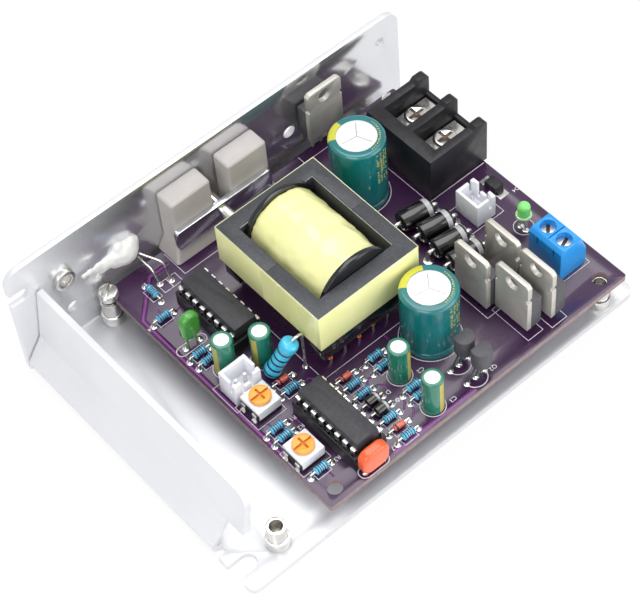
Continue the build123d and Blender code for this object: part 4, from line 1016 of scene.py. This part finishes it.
def printPaths():
    paths = [boxPath(-25.1, -20.0, 27.7, 30.7), ([(-22.6, 27.7), (-22.6, 30.7)], False)]
    paths += [([(-18.4, 36.5), (-18.4, 28.8), (13.2, 28.8), (13.2, 32.0)], False)]
    paths += [([(22.7, 37.0), (22.7, 34.6), (37.6, 34.6), (37.6, 37.0)], False)]
    paths += [ringPath(46.7, -14.7, 2.4), ovalPath(-29.8, 12.3, 4.0, 1.3)]
    paths += [ovalPath(-21.15, -38.75, 3.95, 1.55)]
    paths += [boxPath(-33.4, -25.4, -15.1, -7.2), boxPath(-34.0, -26.3, -30.8, -22.9)]
    paths += [boxPath(x - 0.5, x + 4.0, y - 6.1, y + 5.5) for x, y in outputSpots]
    paths += [([(53.2, 5.4), (35.9, 5.4), (35.9, 28.4)], False)]
    paths += [([(-14.45, 18.0), (-14.45, -15.0), (17.0, -15.0), (17.0, 18.0)], False)]
    paths += [ringPath(26.45, 18.9, 7.15, steps=60), ringPath(10.6, -22.2, 7.15, steps=60)]
    paths += [ringPath(x, y, 2.85) for x, y in ((-28.25, 2.2), (-20.75, -1.7), (-1.6, -25.5), (-1.7, -36.3))]
    paths += [ringPath(x, y, 2.9, 195, 345, 24) for x, y in ((9.7, -32.0), (10.1, -36.9))]
    paths += [boxPath(40.9, 50.4, -32.1, -20.6), boxPath(36.8, 46.6, -8.2, 0.3)]
    paths += [boxPath(-33.9, -24.3, -8.6, -0.1)]
    for x, y in resistorSpots + glassSpots:
        paths.append(boxPath(x - 1.9, x + 1.9, y - 1.3, y + 1.3))
        paths += [([(x + side * 1.9, y), (x + side * 2.3, y)], False) for side in (-1, 1)]
    paths += [boxPath(-28.75, -26.15, 27.4, 31.2)]
    return paths


boardPrints = dict(
    width=0.26, rise=0.03,
    labels=[
        ("R1", -26.0, -17.9), ("R2", -26.1, -20.7), ("R3", -25.7, -32.1), ("R4", -33.7, 22.1),
        ("C1", -24.6, 2.2), ("R5", -6.3, -18.5), ("R6", -5.9, -30.1), ("C2", 2.6, -27.6), ("C3", 2.6, -38.0),
        ("D1", -6.8, -27.0), ("D2", -6.8, -29.9), ("R7", -14.9, -38.4), ("Q1", 14.4, -33.0),
        ("Q2", 14.6, -38.0), ("D3", 46.7, -18.6), ("R8", -22.6, -34.6), ("D4", 53.0, -5.5),
        ("C4", 19.4, 10.4),
    ],
)


def makePrints():
    marks = [lineWork(printPaths(), boardPrints["width"], boardPrints["rise"], boardTop, printWhite)]
    marks += [printText(label, x, y) for label, x, y in boardPrints["labels"]]
    settle(joined(marks), "printMarks")


makeSolder()
makeTracks()
makePrints()
print("board prints made")


# Can tops and sleeve prints
largeCans = [(26.45, 18.9, boardTop + 20.0, 6.5), (10.6, -22.2, boardTop + 17.6, 6.5)]  # X, Y, top, radius
smallCans = [(-28.25, 2.2, 188), (-20.75, -1.7, 196), (-1.6, -25.5, 292), (-1.7, -36.3, 282)]
ventLines = dict(reach=3.9, headings=(52, 172, 292), width=0.2, rise=0.02)
sleevePrint = dict(
    clear=0.2, shoulder=0.98, lift=0.18, inner=4.78,
    patches=((1, 62, 138, 14), (0, 96, 150, 12)),  # can, headings and steps of each yellow patch
    rows=12, columns=4, rowPitch=0.85, firstRow=1.3, columnPitch=9, firstHeading=-90, gaps=0.25,
    rimDashes=15, rimPitch=7, rimHeading=-92, rimInner=4.95, rimOuter=5.5,
)
stripePrint = dict(radius=2.55, high=10.5, low=0.4, half=17, steps=6)


def topRing(top, inner, outer, shoulder):
    ring = [(inner, top + 0.02)]
    for step in range(5):
        angle = math.radians(90 - step * 22.5)
        ring.append((outer - shoulder + shoulder * math.cos(angle),
                     top - shoulder + 0.02 + shoulder * math.sin(angle)))
    return ring


def makeVentLines():
    shape = ventLines
    lines = []
    for x, y, top, _ in largeCans:
        angles = [math.radians(heading) for heading in shape["headings"]]
        arms = [([(x, y), (x + shape["reach"] * math.cos(a), y + shape["reach"] * math.sin(a))], False)
                for a in angles]
        lines.append(lineWork(arms, shape["width"], shape["rise"], top, ventGrey))
    settle(joined(lines), "ventLines")


def makeSleevePrint():
    shape = sleevePrint
    marks = []
    for can, start, end, steps in shape["patches"]:
        x, y, top, radius = largeCans[can]
        ring = topRing(top + shape["lift"], shape["inner"], radius + shape["clear"], shape["shoulder"])
        marks.append(sleevePatch(x, y, ring, start, end, steps, vinylYellow))
    for x, y, top, radius in largeCans:
        outer = radius + shape["clear"]
        for row, column in product(range(shape["rows"]), range(shape["columns"])):
            if random.random() < shape["gaps"]:
                continue
            start = shape["firstHeading"] + column * shape["columnPitch"] + random.uniform(-1, 1)
            z = top - shape["firstRow"] - row * shape["rowPitch"]
            side = [(outer, z), (outer, z - random.uniform(0.3, 0.6))]
            marks.append(sleevePatch(x, y, side, start, start + random.uniform(3.0, 6.5), 2, goldPrint))
        for index in range(shape["rimDashes"]):
            start = shape["rimHeading"] + index * shape["rimPitch"]
            ring = [(shape["rimInner"] + random.uniform(0, 0.3), top + 0.2), (shape["rimOuter"], top + 0.2)]
            marks.append(sleevePatch(x, y, ring, start, start + random.uniform(2.5, 4.8), 2, goldPrint))
    settle(joined(marks), "sleevePrint")


def makeStripePrint():
    shape = stripePrint
    side = [(shape["radius"], boardTop + shape["high"]), (shape["radius"], boardTop + shape["low"])]
    half, steps = shape["half"], shape["steps"]
    stripes = [sleevePatch(x, y, side, heading - half, heading + half, steps, goldPrint)
               for x, y, heading in smallCans]
    settle(joined(stripes), "stripePrint")


makeVentLines()
makeSleevePrint()
makeStripePrint()
print("sleeve prints made")


# Floor, world, lamps and camera
paleFloor = dict(size=3.0, drop=0.0002, colour=(0.9, 0.9, 0.9, 1), rough=0.9, specular=0.1, glow=0.88)
studio = dict(light=0.42, seen=1.0, glossyShare=0.45)  # light on the object, and what rays see behind it


def makeFloor():
    bpy.ops.object.select_all(action="DESELECT")
    bpy.ops.mesh.primitive_plane_add(size=paleFloor["size"], location=(0, 0, -paleFloor["drop"]))
    floor = bpy.context.object
    floor.name = "paleFloor"
    material = bpy.data.materials.new("paleFloor")
    material.use_nodes = True
    tree = material.node_tree
    shader = tree.nodes["Principled BSDF"]
    shader.inputs["Base Color"].default_value = paleFloor["colour"]
    shader.inputs["Roughness"].default_value = paleFloor["rough"]
    shader.inputs["Specular IOR Level"].default_value = paleFloor["specular"]
    rays = tree.nodes.new("ShaderNodeLightPath")
    seen = mathIn(tree, "MAXIMUM", rays.outputs["Is Camera Ray"], rays.outputs["Is Glossy Ray"])
    seen = mathIn(tree, "MAXIMUM", seen, rays.outputs["Is Transmission Ray"])
    share = mathIn(tree, "MULTIPLY", seen, paleFloor["glow"])
    glow = tree.nodes.new("ShaderNodeEmission")
    glow.inputs["Color"].default_value = (1, 1, 1, 1)
    blend = tree.nodes.new("ShaderNodeMixShader")
    tree.links.new(share, blend.inputs[0])
    tree.links.new(shader.outputs[0], blend.inputs[1])
    tree.links.new(glow.outputs[0], blend.inputs[2])
    tree.links.new(blend.outputs[0], tree.nodes["Material Output"].inputs["Surface"])
    giveFinish(floor, material)


def makeWorld():
    world = bpy.data.worlds.new("studio")
    bpy.context.scene.world = world
    world.use_nodes = True
    tree = world.node_tree
    back = tree.nodes["Background"]
    rays = tree.nodes.new("ShaderNodeLightPath")
    seen = mathIn(tree, "MAXIMUM", rays.outputs["Is Camera Ray"], rays.outputs["Is Transmission Ray"])
    glossy = mathIn(tree, "MULTIPLY", rays.outputs["Is Glossy Ray"], studio["glossyShare"])
    seen = mathIn(tree, "MAXIMUM", seen, glossy)
    back.inputs["Color"].default_value = (1, 1, 1, 1)
    strength = rangeIn(tree, seen, 0.0, 1.0, studio["light"], studio["seen"])
    tree.links.new(strength, back.inputs["Strength"])


lamps = {
    "topSoft": dict(place=(0.05, 0.05, 0.55), aim=(0, 0, 0.01), size=(0.5, 0.5), power=2.3),
    "leftSoft": dict(place=(-0.45, -0.25, 0.35), aim=(0, 0, 0.01), size=(0.4, 0.4), power=1.5),
    "lowFront": dict(place=(0.15, -0.5, 0.05), aim=(0.01, -0.03, 0.003), size=(0.6, 0.12), power=0.7),
    "frontSoft": dict(place=(0.3, -0.5, 0.3), aim=(0, 0, 0.01), size=(0.4, 0.4), power=1.1),
}


def makeLamp(name, place, aim, size, power):
    lamp = bpy.data.lights.new(name, "AREA")
    lamp.shape = "RECTANGLE"
    lamp.size, lamp.size_y = size
    lamp.energy = power
    holder = placed(name, lamp)
    holder.location = place
    holder.rotation_euler = (Vector(aim) - Vector(place)).to_track_quat("-Z", "Y").to_euler()


photoView = dict(  # solved from the photograph: place in millimetres, then the three directions
    place=(-165.664, -222.267, 391.420), right=(0.75279, -0.65551, -0.06019),
    upward=(0.55823, 0.58726, 0.58609), ahead=(0.34884, 0.47480, -0.80801),
    lens=117.874, sensor=36, near=0.01, far=10,
)


def makeCamera():
    data = bpy.data.cameras.new("photoView")
    holder = placed("photoView", data)
    axes = (Vector(photoView["right"]), Vector(photoView["upward"]), -Vector(photoView["ahead"]))
    turn = Matrix(axes).transposed().to_4x4()
    holder.matrix_world = Matrix.Translation(Vector(photoView["place"]) * mm) @ turn
    data.lens = photoView["lens"]
    data.sensor_width = photoView["sensor"]
    data.sensor_fit = "HORIZONTAL"
    data.clip_start = photoView["near"]
    data.clip_end = photoView["far"]
    bpy.context.scene.camera = holder


makeFloor()
makeWorld()
for lampName, spec in lamps.items():
    makeLamp(lampName, **spec)
makeCamera()
bpy.context.scene.view_settings.view_transform = "Standard"
print("stage made")
